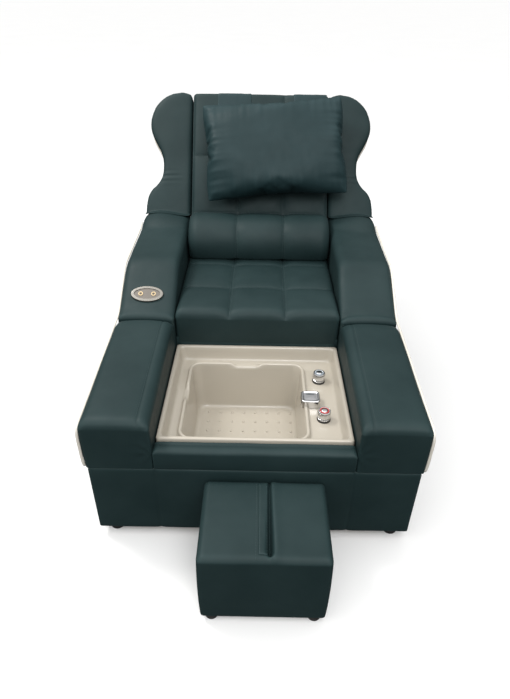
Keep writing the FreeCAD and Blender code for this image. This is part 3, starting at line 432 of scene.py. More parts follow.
def graded(low, high, step, edge, marks):
    """Grid lines from low to high, closer together round the edges and beside each mark, such as a seam."""
    lines = list(np.linspace(low, high, max(2, round((high - low) / step) + 1)))
    for share in (0.12, 0.3, 0.5, 0.75, 1.0):
        lines += [low + edge * share, high - edge * share]
    for mark in marks:
        lines = [line for line in lines if abs(line - mark) > 0.0125]
        lines += [mark + d for d in (-0.010, -0.006, -0.003, 0, 0.003, 0.006, 0.010)]
    kept = [low]
    for line in sorted(lines):
        near_mark = any(abs(line - mark) < 0.0101 for mark in marks)
        if line - kept[-1] > (0.0022 if near_mark else 0.003) and line < high - 0.0015:
            kept.append(line)
    return np.array(kept + [high])


def lattice(lines):
    """The surface of a box as quads between the given grid lines."""
    counts = [len(line) for line in lines]
    index, places, faces = {}, [], []

    def corner(i, j, k):
        key = (i, j, k)
        if key not in index:
            index[key] = len(places)
            places.append((lines[0][i], lines[1][j], lines[2][k]))
        return index[key]

    for axis in range(3):
        a, b = (axis + 1) % 3, (axis + 2) % 3
        for end in (0, counts[axis] - 1):
            for m in range(counts[a] - 1):
                for n in range(counts[b] - 1):
                    quad = []
                    for dm, dn in ((0, 0), (1, 0), (1, 1), (0, 1)):
                        at = [0, 0, 0]
                        at[axis], at[a], at[b] = end, m + dm, n + dn
                        quad.append(corner(*at))
                    faces.append(quad if end else quad[::-1])
    return np.array(places), faces


def block(name, low, high, radius, material, step=0.012, marks=((), (), ())):
    """A box with all its edges rounded alike, whose grid follows the marks on each axis."""
    low, high = np.array(low, float), np.array(high, float)
    co, faces = lattice([graded(low[k], high[k], step, radius, marks[k]) for k in range(3)])
    inner = np.clip(co, low + radius, high - radius)
    out = co - inner
    length = np.linalg.norm(out, axis=1, keepdims=True)
    co = inner + out / np.maximum(length, 1e-9) * radius
    return new_object(name, co, faces, material)


def pad(name, low, high, top_radius, side_radius, material, step=0.013, marks=((), (), ())):
    """A box with soft top edges, tighter upright ones and a flat underside with sharp edges."""
    low, high = np.array(low, float), np.array(high, float)
    lines = [graded(low[k], high[k], step, top_radius, marks[k]) for k in (0, 1)]
    lines.append(graded(low[2], high[2], step, 0.006, marks[2]))
    co, faces = lattice(lines)
    centre, half = (high + low)[:2] / 2, (high - low)[:2] / 2
    from_centre = co[:, :2] - centre
    sign = np.where(from_centre < 0, -1.0, 1.0)
    beyond = np.abs(from_centre) - (half - side_radius)
    corner = (beyond > 0).all(axis=1)
    reach = beyond.max(axis=1)
    length = np.linalg.norm(np.maximum(beyond, 1e-9), axis=1)
    beyond[corner] *= (reach / length)[corner, None]
    outward = np.eye(2)[beyond.argmax(axis=1)]
    outward[corner] = beyond[corner] / np.maximum(reach, 1e-9)[corner, None]
    inside = side_radius - reach
    is_top = co[:, 2] > high[2] - 1e-6
    turn = np.clip(inside / top_radius, 0, 1) * math.pi / 2
    moved = np.where(is_top & (inside < top_radius), inside - top_radius * (1 - np.cos(turn)), 0)
    flat = beyond + half - side_radius + outward * moved[:, None]
    co[:, :2] = centre + sign * flat
    straight = (high[2] - top_radius - low[2]) / (high[2] - low[2])
    rounded = high[2] - top_radius * (1 - np.sin(turn))
    co[:, 2] = np.where(is_top, rounded, low[2] + (co[:, 2] - low[2]) * straight)
    return new_object(name, co, faces, material)


def puff(distance, reach):
    """How full a padded panel is at a distance from its seam: it rises steeply, then levels off."""
    return 1 - np.exp(-np.abs(distance) / reach)


def to_nearest(values, marks):
    return np.min([np.abs(values - mark) for mark in marks], axis=0)


def wavy(co, scale, seed):
    """Smooth noise from -1 to 1 at each point, the same on every run."""
    shift = Vector((seed * 7.13, seed * 3.71, seed * 1.37))
    return np.array([noise.noise(Vector(p) * scale + shift) for p in co])


def gathers(u, v, centre, count, reach, phase=0.0):
    """Folds that radiate from a pulled point, dying away with distance."""
    du, dv = u - centre[0], v - centre[1]
    distance = np.hypot(du, dv)
    angle = np.arctan2(dv, du)
    far = distance / reach
    return np.cos(count * angle + phase) * far * np.exp(1 - far - far ** 2)


def dress(piece, body, slot, *nodes, fill=None):
    """Sets the piece on its body's empty and hides the nodes it stands for; slot and fill are not used."""
    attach(piece, body)
    if nodes:
        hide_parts(*nodes)
    return piece


# --- Seat ---


def make_seat():
    low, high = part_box("seat_cushion")
    rows = SEAT_ROWS_Y
    seat = pad("seat_cushion_cover", low, high, 0.024, 0.010, LEATHER, 0.013, (SEAT_SEAMS_X, rows, ()))
    co, x, y, z = columns_of(seat)
    top = smooth_step(z, high.z - 0.03, high.z - 0.008)
    middle = puff(to_nearest(x, (low.x, high.x)), 0.03) * puff(to_nearest(y, (low.y, high.y)), 0.02)
    columns = puff(to_nearest(x, SEAT_SEAMS_X), 0.016)
    row_depth = np.where(np.abs(y - rows[0]) < np.abs(y - rows[1]), 1.0, 0.8)
    cross = 1 - row_depth * (1 - puff(to_nearest(y, rows), 0.017)) * (0.55 + 0.45 * (1 - columns))
    fold = sum(gathers(x, y, (sx, ry), 5, 0.030, sx * 40 + ry) for sx in SEAT_SEAMS_X for ry in rows)
    lift = -0.012 + 0.013 * columns * cross + 0.004 * middle + 0.0009 * fold
    z += top * (lift + 0.0012 * wavy(co, 16, 1))
    front = smooth_step(-y, -(low.y + 0.02), -low.y)
    y -= (front * 0.004 * puff(to_nearest(z, (low.z, high.z)), 0.03)
          * puff(to_nearest(x, (low.x, high.x)), 0.06))
    y += front * 0.0012 * wavy(co, 11, 2)
    return covered(seat, (x, y, z), "chair", "seat_cushion", 0.8)


def make_skirt():
    """The cover's lower front edge, which hangs from the cushion to behind the basin's rim."""
    low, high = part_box("seat_cushion")
    skirt = block("seat_skirt", (low.x, low.y + 0.0004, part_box("seat_deck")[0].z - 0.05),
                  (high.x, low.y + 0.0034, low.z + 0.02), 0.001, LEATHER, 0.03)
    dress(skirt, "chair", "upholstery")


# --- Arms ---


ARM_SEAM_X = 0.286
SWITCH_X, SWITCH_RUN = -0.345, 0.536
ARM_LINE = [(0.000, 0.410), (0.463, 0.436), (0.488, 0.439), (0.645, 0.533), (1.015, 0.549)]


def swing_radius(x):
    """Distance from the hinge of the curved seam between an arm and its wing: an arch across the arm."""
    share = np.clip((np.abs(x) - 0.2565) / 0.1735, 0, 1)
    return 0.1538 + 0.013 * np.sin(math.pi * share ** 1.35)


def arm_top(x, y):
    """Height of an arm's top: its two bends are rounded off, and it swells to meet the wing's seam."""
    run = np.array([FRONT_Y + p[0] for p in ARM_LINE])
    rise = np.array([p[1] for p in ARM_LINE])
    spread = np.linspace(-0.022, 0.022, 9)
    height = np.mean([np.interp(y + s, run, rise) for s in spread], axis=0)
    arc = PIVOT.z + np.sqrt(np.maximum(swing_radius(x) ** 2 - (y - PIVOT.y) ** 2, 0.0))
    near = y > PIVOT.y - 0.13
    return np.where(y > PIVOT.y, arc, np.where(near, np.maximum(height, arc), height))


def bend_arm(co, low, top, side):
    """Raises a flat-topped block to the arm's real line, lower at its long edges, and gives it a crown."""
    x, y, z = co.T
    share = (z - low.z) / (top - low.z)
    width = np.abs(np.abs(x) - 0.343) / 0.087
    crown = 0.004 * np.clip(width, 0, 1) ** 2.4
    z = low.z + share * (arm_top(x, y) - low.z) - smooth_step(share, 0.55, 0.98) * crown
    bulge = np.sin(np.clip(share, 0, 1) * math.pi) * 0.003
    outer = smooth_step(np.abs(x), 0.40, 0.43)
    inner = smooth_step(-np.abs(x), -0.285, -0.257)
    x = x + side * (outer * bulge - inner * bulge * 0.2)
    return np.stack([x, y, z], 1)


def make_front_arm(side, word):
    node = "front_arm_" + word
    low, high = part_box(node)
    seam = side * ARM_SEAM_X
    arm = pad(node + "_cover", low, high, 0.024, 0.007, LEATHER, 0.013, ((seam,), (), ()))
    co = bend_arm(points_of(arm), low, high.z, side)
    x, y, z = co.T
    across = np.abs(x)
    z -= 0.0022 * np.exp(-np.abs(x - seam) / 0.0035) * smooth_step(z, 0.385, 0.400)
    corner = gathers(across, z, (0.258, 0.318), 7, 0.030, 0.6) * smooth_step(-y, -(low.y + 0.04), -low.y)
    y -= 0.003 * corner
    rear = smooth_step(y, high.y - 0.05, high.y - 0.004)
    z -= rear * 0.010 * (1 - 0.35 * np.sin(np.clip((across - 0.257) / 0.17, 0, 1) * math.pi))
    z += 0.0016 * wavy(co, 9, 3 + side)
    x += side * 0.0010 * wavy(co, 8, 5 + side)
    return covered(arm, (x, y, z), "chair", node, 0.85)


def make_upper_arm(side, word):
    node = "upper_arm_" + word
    low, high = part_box(node)
    arm = pad(node + "_cover", low, high, 0.024, 0.010, LEATHER, 0.013)
    co = bend_arm(points_of(arm), low, high.z, side)
    x, y, z = co.T
    across = np.abs(x)
    share = (z - low.z) / (arm_top(x, y) - low.z)
    slack = 1.5 if side > 0 else 0.5
    bow = FRONT_Y + 0.482 + 0.010 * np.sin(np.clip((across - 0.257) / 0.17, 0, 1) * math.pi)
    foot = np.exp(-((y - bow) / 0.007) ** 2) * smooth_step(share, 0.8, 0.97)
    second = np.exp(-((y - bow - 0.016 - 0.05 * (across - 0.3)) / 0.006) ** 2)
    second *= smooth_step(across, 0.28, 0.31)
    z -= (0.0065 * foot + 0.004 * second * smooth_step(share, 0.8, 0.97)) * slack
    z += 0.003 * slack * np.exp(-((y - bow - 0.009) / 0.005) ** 2) * smooth_step(share, 0.85, 0.97)
    from_switch = np.abs(x - SWITCH_X) + np.abs(y - FRONT_Y - SWITCH_RUN)
    z += 0.0016 * wavy(co, 9, 8 + side) * smooth_step(from_switch, 0.03, 0.14)
    x += side * 0.0010 * wavy(co, 8, 11 + side)
    return covered(arm, (x, y, z), "chair", node, 0.85)


# --- Flat padded panels ---


def make_panel(node, radius, seams_x=(), seams_y=(), swell=0.002, axis=1, outward=-1, seed=0):
    """A padded panel whose outer face swells between its edges and its sewn seams."""
    low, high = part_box(node)
    marks = [seams_x, seams_y, ()]
    panel = block(node + "_cover", low, high + Vector((0, 0, 0.001)), radius, LEATHER, 0.018, marks)
    co = points_of(panel)
    across = 1 - axis
    seams = seams_x if across == 0 else seams_y
    u, z = co[:, across], co[:, 2]
    face = co[:, axis]
    edge = high[axis] if outward > 0 else low[axis]
    outer = smooth_step(-np.abs(face - edge), -0.008, -0.002)
    full = puff(to_nearest(z, (low.z, high.z)), 0.02)
    full *= puff(to_nearest(u, (low[across], high[across])), 0.02)
    sewn = puff(to_nearest(u, seams), 0.006) if seams else 1.0
    face += outward * outer * (swell * full - 0.003 * (1 - sewn) + 0.0007 * wavy(co, 7, seed))
    return covered(panel, co.T, "chair", node, 0.95)


def make_apron():
    low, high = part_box("front_apron")
    fold = low.y + 0.026
    apron = pad("front_apron_cover", low, high, 0.011, 0.001, LEATHER, 0.012, ((), (fold,), ()))
    co, x, y, z = columns_of(apron)
    top = smooth_step(z, high.z - 0.012, high.z - 0.003)
    z -= top * 0.0035 * (1 - puff(y - fold, 0.004))
    z += top * 0.0012 * wavy(co, 14, 21)
    front = smooth_step(-y, -(low.y + 0.01), -low.y)
    y -= front * (0.003 * puff(to_nearest(z, (low.z, high.z)), 0.015) + 0.0012 * wavy(co, 13, 22))
    return covered(apron, (x, y, z), "chair", "front_apron", 0.8)


# --- Backrest ---


def make_back_cushion():
    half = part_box("back_cushion")[1].x
    low, high = Vector((-half, 0.0, -0.120)), Vector((half, 0.075, 0.446))
    back = block("back_cushion_cover", low, high, 0.014, LEATHER, 0.013, (BACK_SEAMS_X, (), BACK_ROWS))
    co, x, y, z = columns_of(back)
    front = smooth_step(-y, -0.016, -0.002)
    columns = puff(to_nearest(x, BACK_SEAMS_X), 0.016)
    row = 1 - (1 - puff(to_nearest(z, BACK_ROWS), 0.014)) * (0.6 + 0.4 * (1 - columns))
    edges = puff(to_nearest(x, (-half, half)), 0.02)
    fold = sum(gathers(x, z, (sx, rz), 5, 0.026, sx * 30 + rz * 9) for sx in BACK_SEAMS_X
               for rz in BACK_ROWS)
    y += front * (0.011 - 0.011 * columns * row * edges + 0.0008 * fold + 0.001 * wavy(co, 12, 31))
    hidden = smooth_step(np.abs(x), 0.224, 0.228) * smooth_step(-z, 0.050, 0.056)
    z += hidden * np.maximum(0, -0.055 - z)
    return covered(back, (x, y, z), "backrest", "back_cushion", 0.8, BACK)


BOLSTER_MIDDLE = Vector((0, -0.001, -0.105))
BOLSTER_REACH, BOLSTER_TALL = 0.119, 0.0995


def make_bolster():
    """Half-round roll, drawn in at both ends and at two seams, and flat where it lies over the seat."""
    low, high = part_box("lumbar_bolster")
    half, floor = high.x, low.z
    across = graded(-half, half, 0.012, 0.03, BACK_SEAMS_X)
    turns = np.linspace(-math.pi / 2, math.pi / 2, 41)
    vertices = []
    for x in across:
        end = np.clip((abs(x) - (half - 0.035)) / 0.035, 0, 1)
        scale = 1 - 0.34 * (1 - math.sqrt(max(0.0, 1 - end ** 2)))
        pinch = 1 - 0.10 * math.exp(-np.min(np.abs(np.array(BACK_SEAMS_X) - x)) / 0.017)
        for t in turns:
            r = scale * pinch * (1 + 0.012 * noise.noise(Vector((x * 11, t * 1.6, 4))))
            rise = BOLSTER_TALL * math.sin(t) * (0.35 + 0.65 * r)
            depth = BOLSTER_MIDDLE.y - BOLSTER_REACH * math.cos(t) * r
            vertices.append((x, depth, BOLSTER_MIDDLE.z + rise))
        for share in np.linspace(1, -1, 10)[1:-1]:
            rise = BOLSTER_TALL * share * (0.35 + 0.65 * scale * pinch)
            vertices.append((x, BOLSTER_MIDDLE.y, BOLSTER_MIDDLE.z + rise))
    faces = loft(len(across), len(vertices) // len(across))
    roll = closed_object("lumbar_bolster_cover", vertices, faces, LEATHER)
    subdivided(roll)
    roll.data.transform(BACK)
    co = points_of(roll)
    above = co[:, 2] - floor
    rest = 0.012
    co[:, 2] = floor + np.where(above < rest, rest * np.exp(np.minimum(above / rest, 1) - 1) * 0.98, above)
    set_points(roll, co)
    return dress(roll, "backrest", "upholstery", "lumbar_bolster", fill=0.85)


def make_bolster_skirt():
    """The bolster's cover, tucked down behind the seat."""
    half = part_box("lumbar_bolster")[1].x
    skirt = block("bolster_skirt", (0.0005 - half, 0.0008, -0.144), (half - 0.0005, 0.0028, -0.100), 0.0009,
                  LEATHER, 0.03)
    skirt.data.transform(BACK)
    dress(skirt, "backrest", "upholstery")


WING_EDGE = [(0.256, 0.443), (0.297, 0.449), (0.345, 0.437), (0.382, 0.410), (0.404, 0.374), (0.413, 0.329),
             (0.404, 0.288), (0.384, 0.251), (0.367, 0.215), (0.361, 0.175), (0.365, 0.134), (0.382, 0.105),
             (0.407, 0.081), (0.420, 0.050), (0.423, 0.010), (0.424, -0.060)]


def spline_through(points, count):
    """A smooth line through the points, with the same count of samples from each to the next."""
    p = np.array(points, float)
    p = np.vstack([2 * p[0] - p[1], p, 2 * p[-1] - p[-2]])
    samples = []
    for k in range(1, len(p) - 2):
        for t in np.linspace(0, 1, count, endpoint=False):
            a, b, c, d = p[k - 1:k + 3]
            samples.append(0.5 * (2 * b + (c - a) * t + (2 * a - 5 * b + 4 * c - d) * t ** 2
                                  + (3 * b - a - 3 * c + d) * t ** 3))
    samples.append(p[-2])
    return np.array(samples)


def make_wing(side, word):
    """A thick ear: its outline is extruded, remeshed and rounded by smoothing, then swelled in front."""
    outline = [(0.2562, -0.060), (0.2562, 0.441)] + [tuple(q) for q in spline_through(WING_EDGE, 5)]
    thick, inset = 0.094, 0.003
    count = len(outline)
    vertices = [(side * x, inset + d * (thick - 2 * inset), z) for d in (0, 1) for x, z in outline]
    faces = [tuple(range(count)), tuple(range(2 * count - 1, count - 1, -1))]
    faces += [(k, k + count, (k + 1) % count + count, (k + 1) % count) for k in range(count)]
    wing = closed_object("wing_" + word + "_cover", vertices, faces, LEATHER)
    modifier = wing.modifiers.new("remesh", "REMESH")
    modifier.mode = "VOXEL"
    modifier.voxel_size = 0.0065
    rounding = wing.modifiers.new("rounding", "SMOOTH")
    rounding.factor = 0.6
    rounding.iterations = 22
    applied(wing)
    co = points_of(wing)
    x, y, z = np.abs(co[:, 0]), co[:, 1], co[:, 2]
    front = smooth_step(-y, -0.05, -0.004)
    y -= front * 0.006 * np.sin(np.clip((x - 0.256) / 0.15, 0, 1) * math.pi)
    crease = np.sin((z - 0.128) * 330 + 14 * (x - 0.33)) * np.exp(-((z - 0.130) / 0.022) ** 2)
    y += front * 0.0016 * crease * smooth_step(x, 0.27, 0.31)
    y += front * 0.0018 * wavy(co, 10, 41 + side)
    world = np.array(BACK) @ np.vstack([side * x, y, z, np.ones(len(x))])
    wy, wz = world[1] - PIVOT.y, world[2] - PIVOT.z
    swing = np.maximum(np.hypot(wy, wz), 1e-6)
    push = np.maximum(0, swing_radius(x) + 0.0016 - swing) / swing
    world[1] += wy * push
    world[2] += wz * push
    return covered(wing, world[:3], "backrest", "wing_" + word, 0.85)


def make_back_cover():
    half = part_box("back_cover")[1].x
    cover = block("back_cover_cloth", (-half, 0.114, -0.150), (half, 0.124, 0.437), 0.0045, LEATHER, 0.018,
                  (BACK_SEAMS_X, (), BACK_ROWS[1:]))
    co, x, y, z = columns_of(cover)
    x *= 1 - (1 - 0.205 / half) * smooth_step(-z, 0.093, 0.097)
    rear = smooth_step(y, 0.117, 0.123)
    y += rear * (0.002 * puff(to_nearest(x, BACK_SEAMS_X), 0.008) * puff(z - BACK_ROWS[1], 0.008) - 0.002
                 + 0.0008 * wavy(co, 7, 51))
    return covered(cover, (x, y, z), "backrest", "back_cover", 0.95, BACK)


# --- Head pillow ---


def pillow_cloth(width, height):
    """Two flat sheets joined round their edges, a little apart, ready to be blown up."""
    nx, ny = 72, 52
    xs = np.linspace(-width / 2, width / 2, nx)
    zs = np.linspace(-height / 2, height / 2, ny)
    vertices, faces, index = [], [], {}
    for layer in (0, 1):
        for j, z in enumerate(zs):
            for i, x in enumerate(xs):
                rim = i in (0, nx - 1) or j in (0, ny - 1)
                if layer and rim:
                    index[1, i, j] = index[0, i, j]
                    continue
                index[layer, i, j] = len(vertices)
                u, v = 2 * x / width, 2 * z / height
                draw = 1 + 0.014 * (1 - u * u) * abs(v) ** 3, 1 + 0.026 * (1 - v * v) * abs(u) ** 3
                depth = 0 if rim else (0.006 + 0.02 * (1 - u ** 4) * (1 - v ** 4)) * (1 if layer else -1)
                vertices.append((x * draw[1], depth, z * draw[0]))
        for j in range(ny - 1):
            for i in range(nx - 1):
                quad = [index[layer, i, j], index[layer, i + 1, j], index[layer, i + 1, j + 1],
                        index[layer, i, j + 1]]
                faces.append(quad if not layer else quad[::-1])
    return vertices, faces


CLOTH = {"quality": 8, "mass": 0.35, "tension_stiffness": 22, "compression_stiffness": 22,
         "shear_stiffness": 9, "bending_stiffness": 0.9, "air_damping": 4}


def blown_up(piece, pressure, frames):
    """Runs the cloth simulation with no gravity and keeps its last frame as the mesh."""
    cloth = piece.modifiers.new("cloth", "CLOTH")
    for key, value in CLOTH.items():
        setattr(cloth.settings, key, value)
    cloth.settings.use_pressure = True
    cloth.settings.uniform_pressure_force = pressure
    cloth.settings.effector_weights.gravity = 0
    cloth.collision_settings.use_collision = False
    scene = bpy.context.scene
    cloth.point_cache.frame_start = 1
    cloth.point_cache.frame_end = frames
    for number in range(1, frames + 1):
        scene.frame_set(number)
    applied(piece)
    scene.frame_set(1)
    return piece


PILLOW_FLAT = (0.565, 0.405)
PILLOW_HALF = (0.249, 0.073, 0.1735)
PILLOW_FULL = (0.050, 0.030)
PILLOW_PLACE = (0.052, -0.074, 0.211)
PILLOW_TURN = -4.5


def make_pillow():
    vertices, faces = pillow_cloth(*PILLOW_FLAT)
    pillow = closed_object("head_pillow_case", vertices, faces, SOFT_LEATHER)
    blown_up(pillow, 6.0, 12)
    co = points_of(pillow)
    size = co.max(0) - co.min(0)
    half = np.array(PILLOW_HALF)
    co = (co - (co.max(0) + co.min(0)) / 2) * (2 * half / size)
    co[:, 0] *= 1 + PILLOW_FULL[0] * (1 - np.abs(co[:, 2] / half[2]) ** 2.5)
    co[:, 2] *= 1 + PILLOW_FULL[1] * (1 - np.abs(co[:, 0] / half[0]) ** 2.5)
    x, y, z = co.T
    front = np.where(y < 0, -1.0, 1.0)
    for along, across, limit, seed in ((x, z, half[2], 83), (z, x, half[0], 84)):
        from_seam = (limit - np.abs(across)) / 0.022
        pucker = wavy(np.stack([along * 2.6, np.sign(across), front], 1), 26, seed)
        y += front * 0.0052 * pucker * from_seam * np.exp(1 - from_seam) * smooth_step(from_seam, 0.0, 0.5)
    hang = np.exp(-((z + 0.085) / 0.05) ** 2) * smooth_step(-np.abs(x), -0.13, -0.05)
    y += front * (0.0034 * hang * wavy(np.stack([x, z * 0.25, front], 1), 34, 85) + 0.003 * wavy(co, 9, 81))
    y += front * 0.0012 * wavy(co, 30, 82)
    turn = Matrix.Rotation(math.radians(PILLOW_TURN), 4, "Y")
    place = BACK @ Matrix.Translation(PILLOW_PLACE) @ turn
    return covered(pillow, (x, y, z), "pillow", "head_pillow", 0.75, place, "pillow_leather")


def make_straps():
    """Two wide bands that come from behind the pillow and hang over the top of the back."""
    for number, (x0, x1) in enumerate(((-0.160, -0.037), (0.122, 0.245))):
        line = [(-0.0012, 0.300), (-0.0012, 0.360), (-0.0012, 0.425), (0.003, 0.4415), (0.015, 0.4478),
                (0.060, 0.4482), (0.085, 0.4460), (0.108, 0.4408), (0.1235, 0.436), (0.1275, 0.420),
                (0.1270, 0.360), (0.1268, 0.292)]
        path = spline_through(line, 6)
        across = np.linspace(x0, x1, 22)
        vertices = []
        for k, (depth, h) in enumerate(path):
            ahead = path[min(k + 1, len(path) - 1)] - path[max(k - 1, 0)]
            outward = Vector((ahead[1], -ahead[0])).normalized()
            for x in across:
                u = (x - x0) / (x1 - x0)
                hem = 0.0006 * math.exp(-min(u, 1 - u) / 0.05)
                ripple = 0.0011 * noise.noise(Vector((x * 60, k * 0.12, number * 5))) + hem + 0.0006
                vertices.append((x, depth + outward[0] * ripple, h + outward[1] * ripple))
        faces = loft(len(path), len(across), closed=False, capped=False)
        strap = new_object(f"pillow_strap_{number + 1}", vertices, faces, SOFT_LEATHER)
        shell = strap.modifiers.new("thickness", "SOLIDIFY")
        shell.thickness = 0.0018
        shell.offset = 0
        subdivided(strap)
        strap.data.transform(BACK)
        dress(strap, "pillow", "pillow_leather", "pillow_straps")


# --- Basin ---


def ring(x0, x1, y0, y1, radius, z, per_side=22, per_corner=7):
    """Points round a rounded rectangle, always in the same number and order.

    The sizes are in millimetres, and Y is counted from the base's front.
    """
    points = []
    corners = [(x1 - radius, y0 + radius, -90), (x1 - radius, y1 - radius, 0), (x0 + radius, y1 - radius, 90),
               (x0 + radius, y0 + radius, 180)]
    for n, (cx, cy, start) in enumerate(corners):
        angles = [math.radians(start + 90 * k / per_corner) for k in range(per_corner + 1)]
        arc = [(cx + radius * math.cos(angle), cy + radius * math.sin(angle)) for angle in angles]
        points += arc
        nx, ny, nstart = corners[(n + 1) % 4]
        turn = math.radians(nstart)
        after = (nx + radius * math.cos(turn), ny + radius * math.sin(turn))
        for k in range(1, per_side):
            t = k / per_side
            points.append((arc[-1][0] * (1 - t) + after[0] * t, arc[-1][1] * (1 - t) + after[1] * t))
    return [(x / 1000, FRONT_Y + y / 1000, z / 1000) for x, y in points]


def make_basin():
    """Moulded shell: rings from under the rim, over it, across the deck, over the lip and down."""
    rim = (-253, 253, 43, 474)
    tub = (-197, 137, 89, 418)

    def grown(box, by):
        return box[0] - by, box[1] + by, box[2] - by, box[3] + by

    over_rim = [(0, 8, 275), (0, 8, 300), (0, 8, 320), (0.6, 8, 323.2), (2.4, 8, 324.8), (6, 9, 325.2),
                (9.5, 11, 324.6), (11.8, 12, 322.6), (13.2, 13, 319), (15, 14, 308), (17, 15, 295),
                (19, 16, 286), (21, 17, 282), (25, 18, 280.3)]
    rings = [ring(*grown(rim, -by), radius, z) for by, radius, z in over_rim]
    deck_out, deck_in = grown(rim, -29), grown(tub, 17)
    for t in (0.0, 0.35, 0.7, 1.0):
        between = [a * (1 - t) + b * t for a, b in zip(deck_out, deck_in)]
        rings.append(ring(*between, 20 + 20 * t, 280))
    lip = [(14, 280.3), (12, 282), (10.8, 285), (9.8, 289), (8.4, 291.2), (6, 292), (3.2, 291.8), (1.2, 290.4),
           (0.2, 287.5)]
    lip_start = len(rings)
    rings += [ring(*grown(tub, by), 28 + by, z) for by, z in lip]
    lip_end = len(rings)
    for z in (270, 235, 200, 165, 143):
        rings.append(ring(*grown(tub, -11 * (288 - z) / 160), 28, z))
    bottom = [(11.2, 28, 136), (14, 27, 131), (19, 25, 128.6), (27, 22, 128), (45, 20, 128), (75, 18, 128),
              (110, 14, 128), (145, 8, 128)]
    rings += [ring(*grown(tub, -by), radius, z) for by, radius, z in bottom]
    count = len(rings[0])
    co = np.array(rings)
    dips = [(-30, 424, 42, "x"), (-30, 83, 42, "x"), (-203, 280, 30, "y"), (143, 247, 27, "y")]
    for k in range(lip_start, lip_end):
        x = co[k, :, 0] * 1000
        y = (co[k, :, 1] - FRONT_Y) * 1000
        for cx, cy, half, along in dips:
            run, off = (x - cx, y - cy) if along == "x" else (y - cy, x - cx)
            drop = (1 - smooth_step(np.abs(run), half - 5, half + 3)) * (np.abs(off) < 24)
            co[k, :, 2] = co[k, :, 2] - drop * np.maximum(0, co[k, :, 2] - 0.2815)
    vertices = [tuple(p) for p in co.reshape(-1, 3)]
    faces = loft(len(rings), count, capped=False)
    last = (len(rings) - 1) * count
    centre = co[-1].mean(0)
    vertices.append(tuple(centre))
    faces += [(last + i, last + (i + 1) % count, len(vertices) - 1) for i in range(count)]
    basin = closed_object("basin_shell", vertices, faces, ACRYLIC)
    shell = basin.modifiers.new("thickness", "SOLIDIFY")
    shell.thickness = 0.0045
    shell.offset = -1
    applied(basin)
    basin.data.materials.clear()
    basin.data.materials.append(ACRYLIC)
    dress(basin, "chair", "cream_acrylic", "basin")


def make_nubs():
    """Domes on the tub's floor."""
    turned = [(0.0042, -0.0006), (0.0040, 0.0006), (0.0033, 0.0019), (0.0021, 0.0028), (0.0009, 0.0031)]
    vertices, faces = [], []
    for row in range(5):
        for column in range(8):
            centre = Vector((-0.020 + (column - 3.5) * 0.037, FRONT_Y + 0.203 + row * 0.043, 0.128))
            add_lathe(vertices, faces, centre, turned, 14)
    nubs = closed_object("tub_nubs", vertices, faces, ACRYLIC)
    dress(nubs, "chair", "cream_acrylic")


# --- Turned pieces ---


def add_lathe(vertices, faces, centre, profile, segments, flutes=0, depth=0.0, place=None):
    """Adds a closed turned shape, its axis along Z: the profile is (radius, height) from bottom to top."""
    start = len(vertices)
    for radius, height in profile:
        for s in range(segments):
            angle = 2 * math.pi * s / segments
            fluted = flutes and radius > depth * 4
            cut = depth * (0.5 + 0.5 * math.cos(flutes * angle)) ** 3 if fluted else 0
            point = Vector(((radius - cut) * math.cos(angle), (radius - cut) * math.sin(angle), height))
            vertices.append(tuple(place @ point if place else centre + point))
    faces += loft(len(profile), segments, start)


def turned(name, centre, profile, material, segments=64, flutes=0, depth=0.0, place=None):
    vertices, faces = [], []
    add_lathe(vertices, faces, Vector(centre), profile, segments, flutes, depth, place)
    piece = closed_object(name, vertices, faces, material)
    sharp_edges(piece, 35)
    return piece


def sharp_edges(piece, degrees):
    """Keeps the shading crisp where two faces meet at more than the angle."""
    shape = bmesh.new()
    shape.from_mesh(piece.data)
    for edge in shape.edges:
        if len(edge.link_faces) == 2 and edge.calc_face_angle() > math.radians(degrees):
            edge.smooth = False
    shape.to_mesh(piece.data)
    shape.free()


def make_knob(node, index_node, body, mark):
    low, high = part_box(node)
    centre = ((low.x + high.x) / 2, (low.y + high.y) / 2, low.z)
    tall = high.z - low.z
    skirt = [(0.0060, 0.0002), (0.0165, 0.0002), (0.0177, 0.0010), (0.0180, 0.0030), (0.0176, 0.0042),
             (0.0163, 0.0050), (0.0163, 0.0064), (0.0176, 0.0072), (0.0180, 0.0085), (0.0180, tall - 0.0062),
             (0.0176, tall - 0.0052), (0.0168, tall - 0.0048), (0.0168, tall - 0.0036), (0.0177, tall - 0.0031),
             (0.0179, tall - 0.0018), (0.0172, tall - 0.0004), (0.0160, tall), (0.0142, tall - 0.0001),
             (0.0134, tall - 0.0006), (0.0131, tall - 0.0011), (0.0100, tall - 0.0012)]
    knob = turned(node + "_body", centre, skirt, CHROME, 144, 18, 0.0011)
    dress(knob, body, "chrome", node)
    for number, height in enumerate((0.0057, tall - 0.0042)):
        radius = 0.0166 if number == 0 else 0.0170
        band = turned(f"{node}_band_{number + 1}", centre,
                      [(radius - 0.002, height - 0.0008), (radius, height - 0.0006), (radius + 0.0003, height),
                       (radius, height + 0.0006), (radius - 0.002, height + 0.0008)], BLACK_PLASTIC, 72)
        dress(band, body, "black_rubber")
    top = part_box(index_node)[1].z - low.z
    disc = turned(index_node + "_disc", centre,
                  [(0.0126, top - 0.0014), (0.0129, top - 0.0009), (0.0129, top - 0.0003),
                   (0.0124, top + 0.0001), (0.0070, top + 0.0004)], mark, 64)
    dress(disc, body, "index_red" if mark is RED else "index_grey", index_node)
    cap = turned(index_node + "_cap", centre,
                 [(0.0094, top - 0.0004), (0.0095, top + 0.0004), (0.0088, top + 0.0010),
                  (0.0060, top + 0.0014), (0.0020, top + 0.0016)], CHROME, 48)
    dress(cap, body, "chrome")


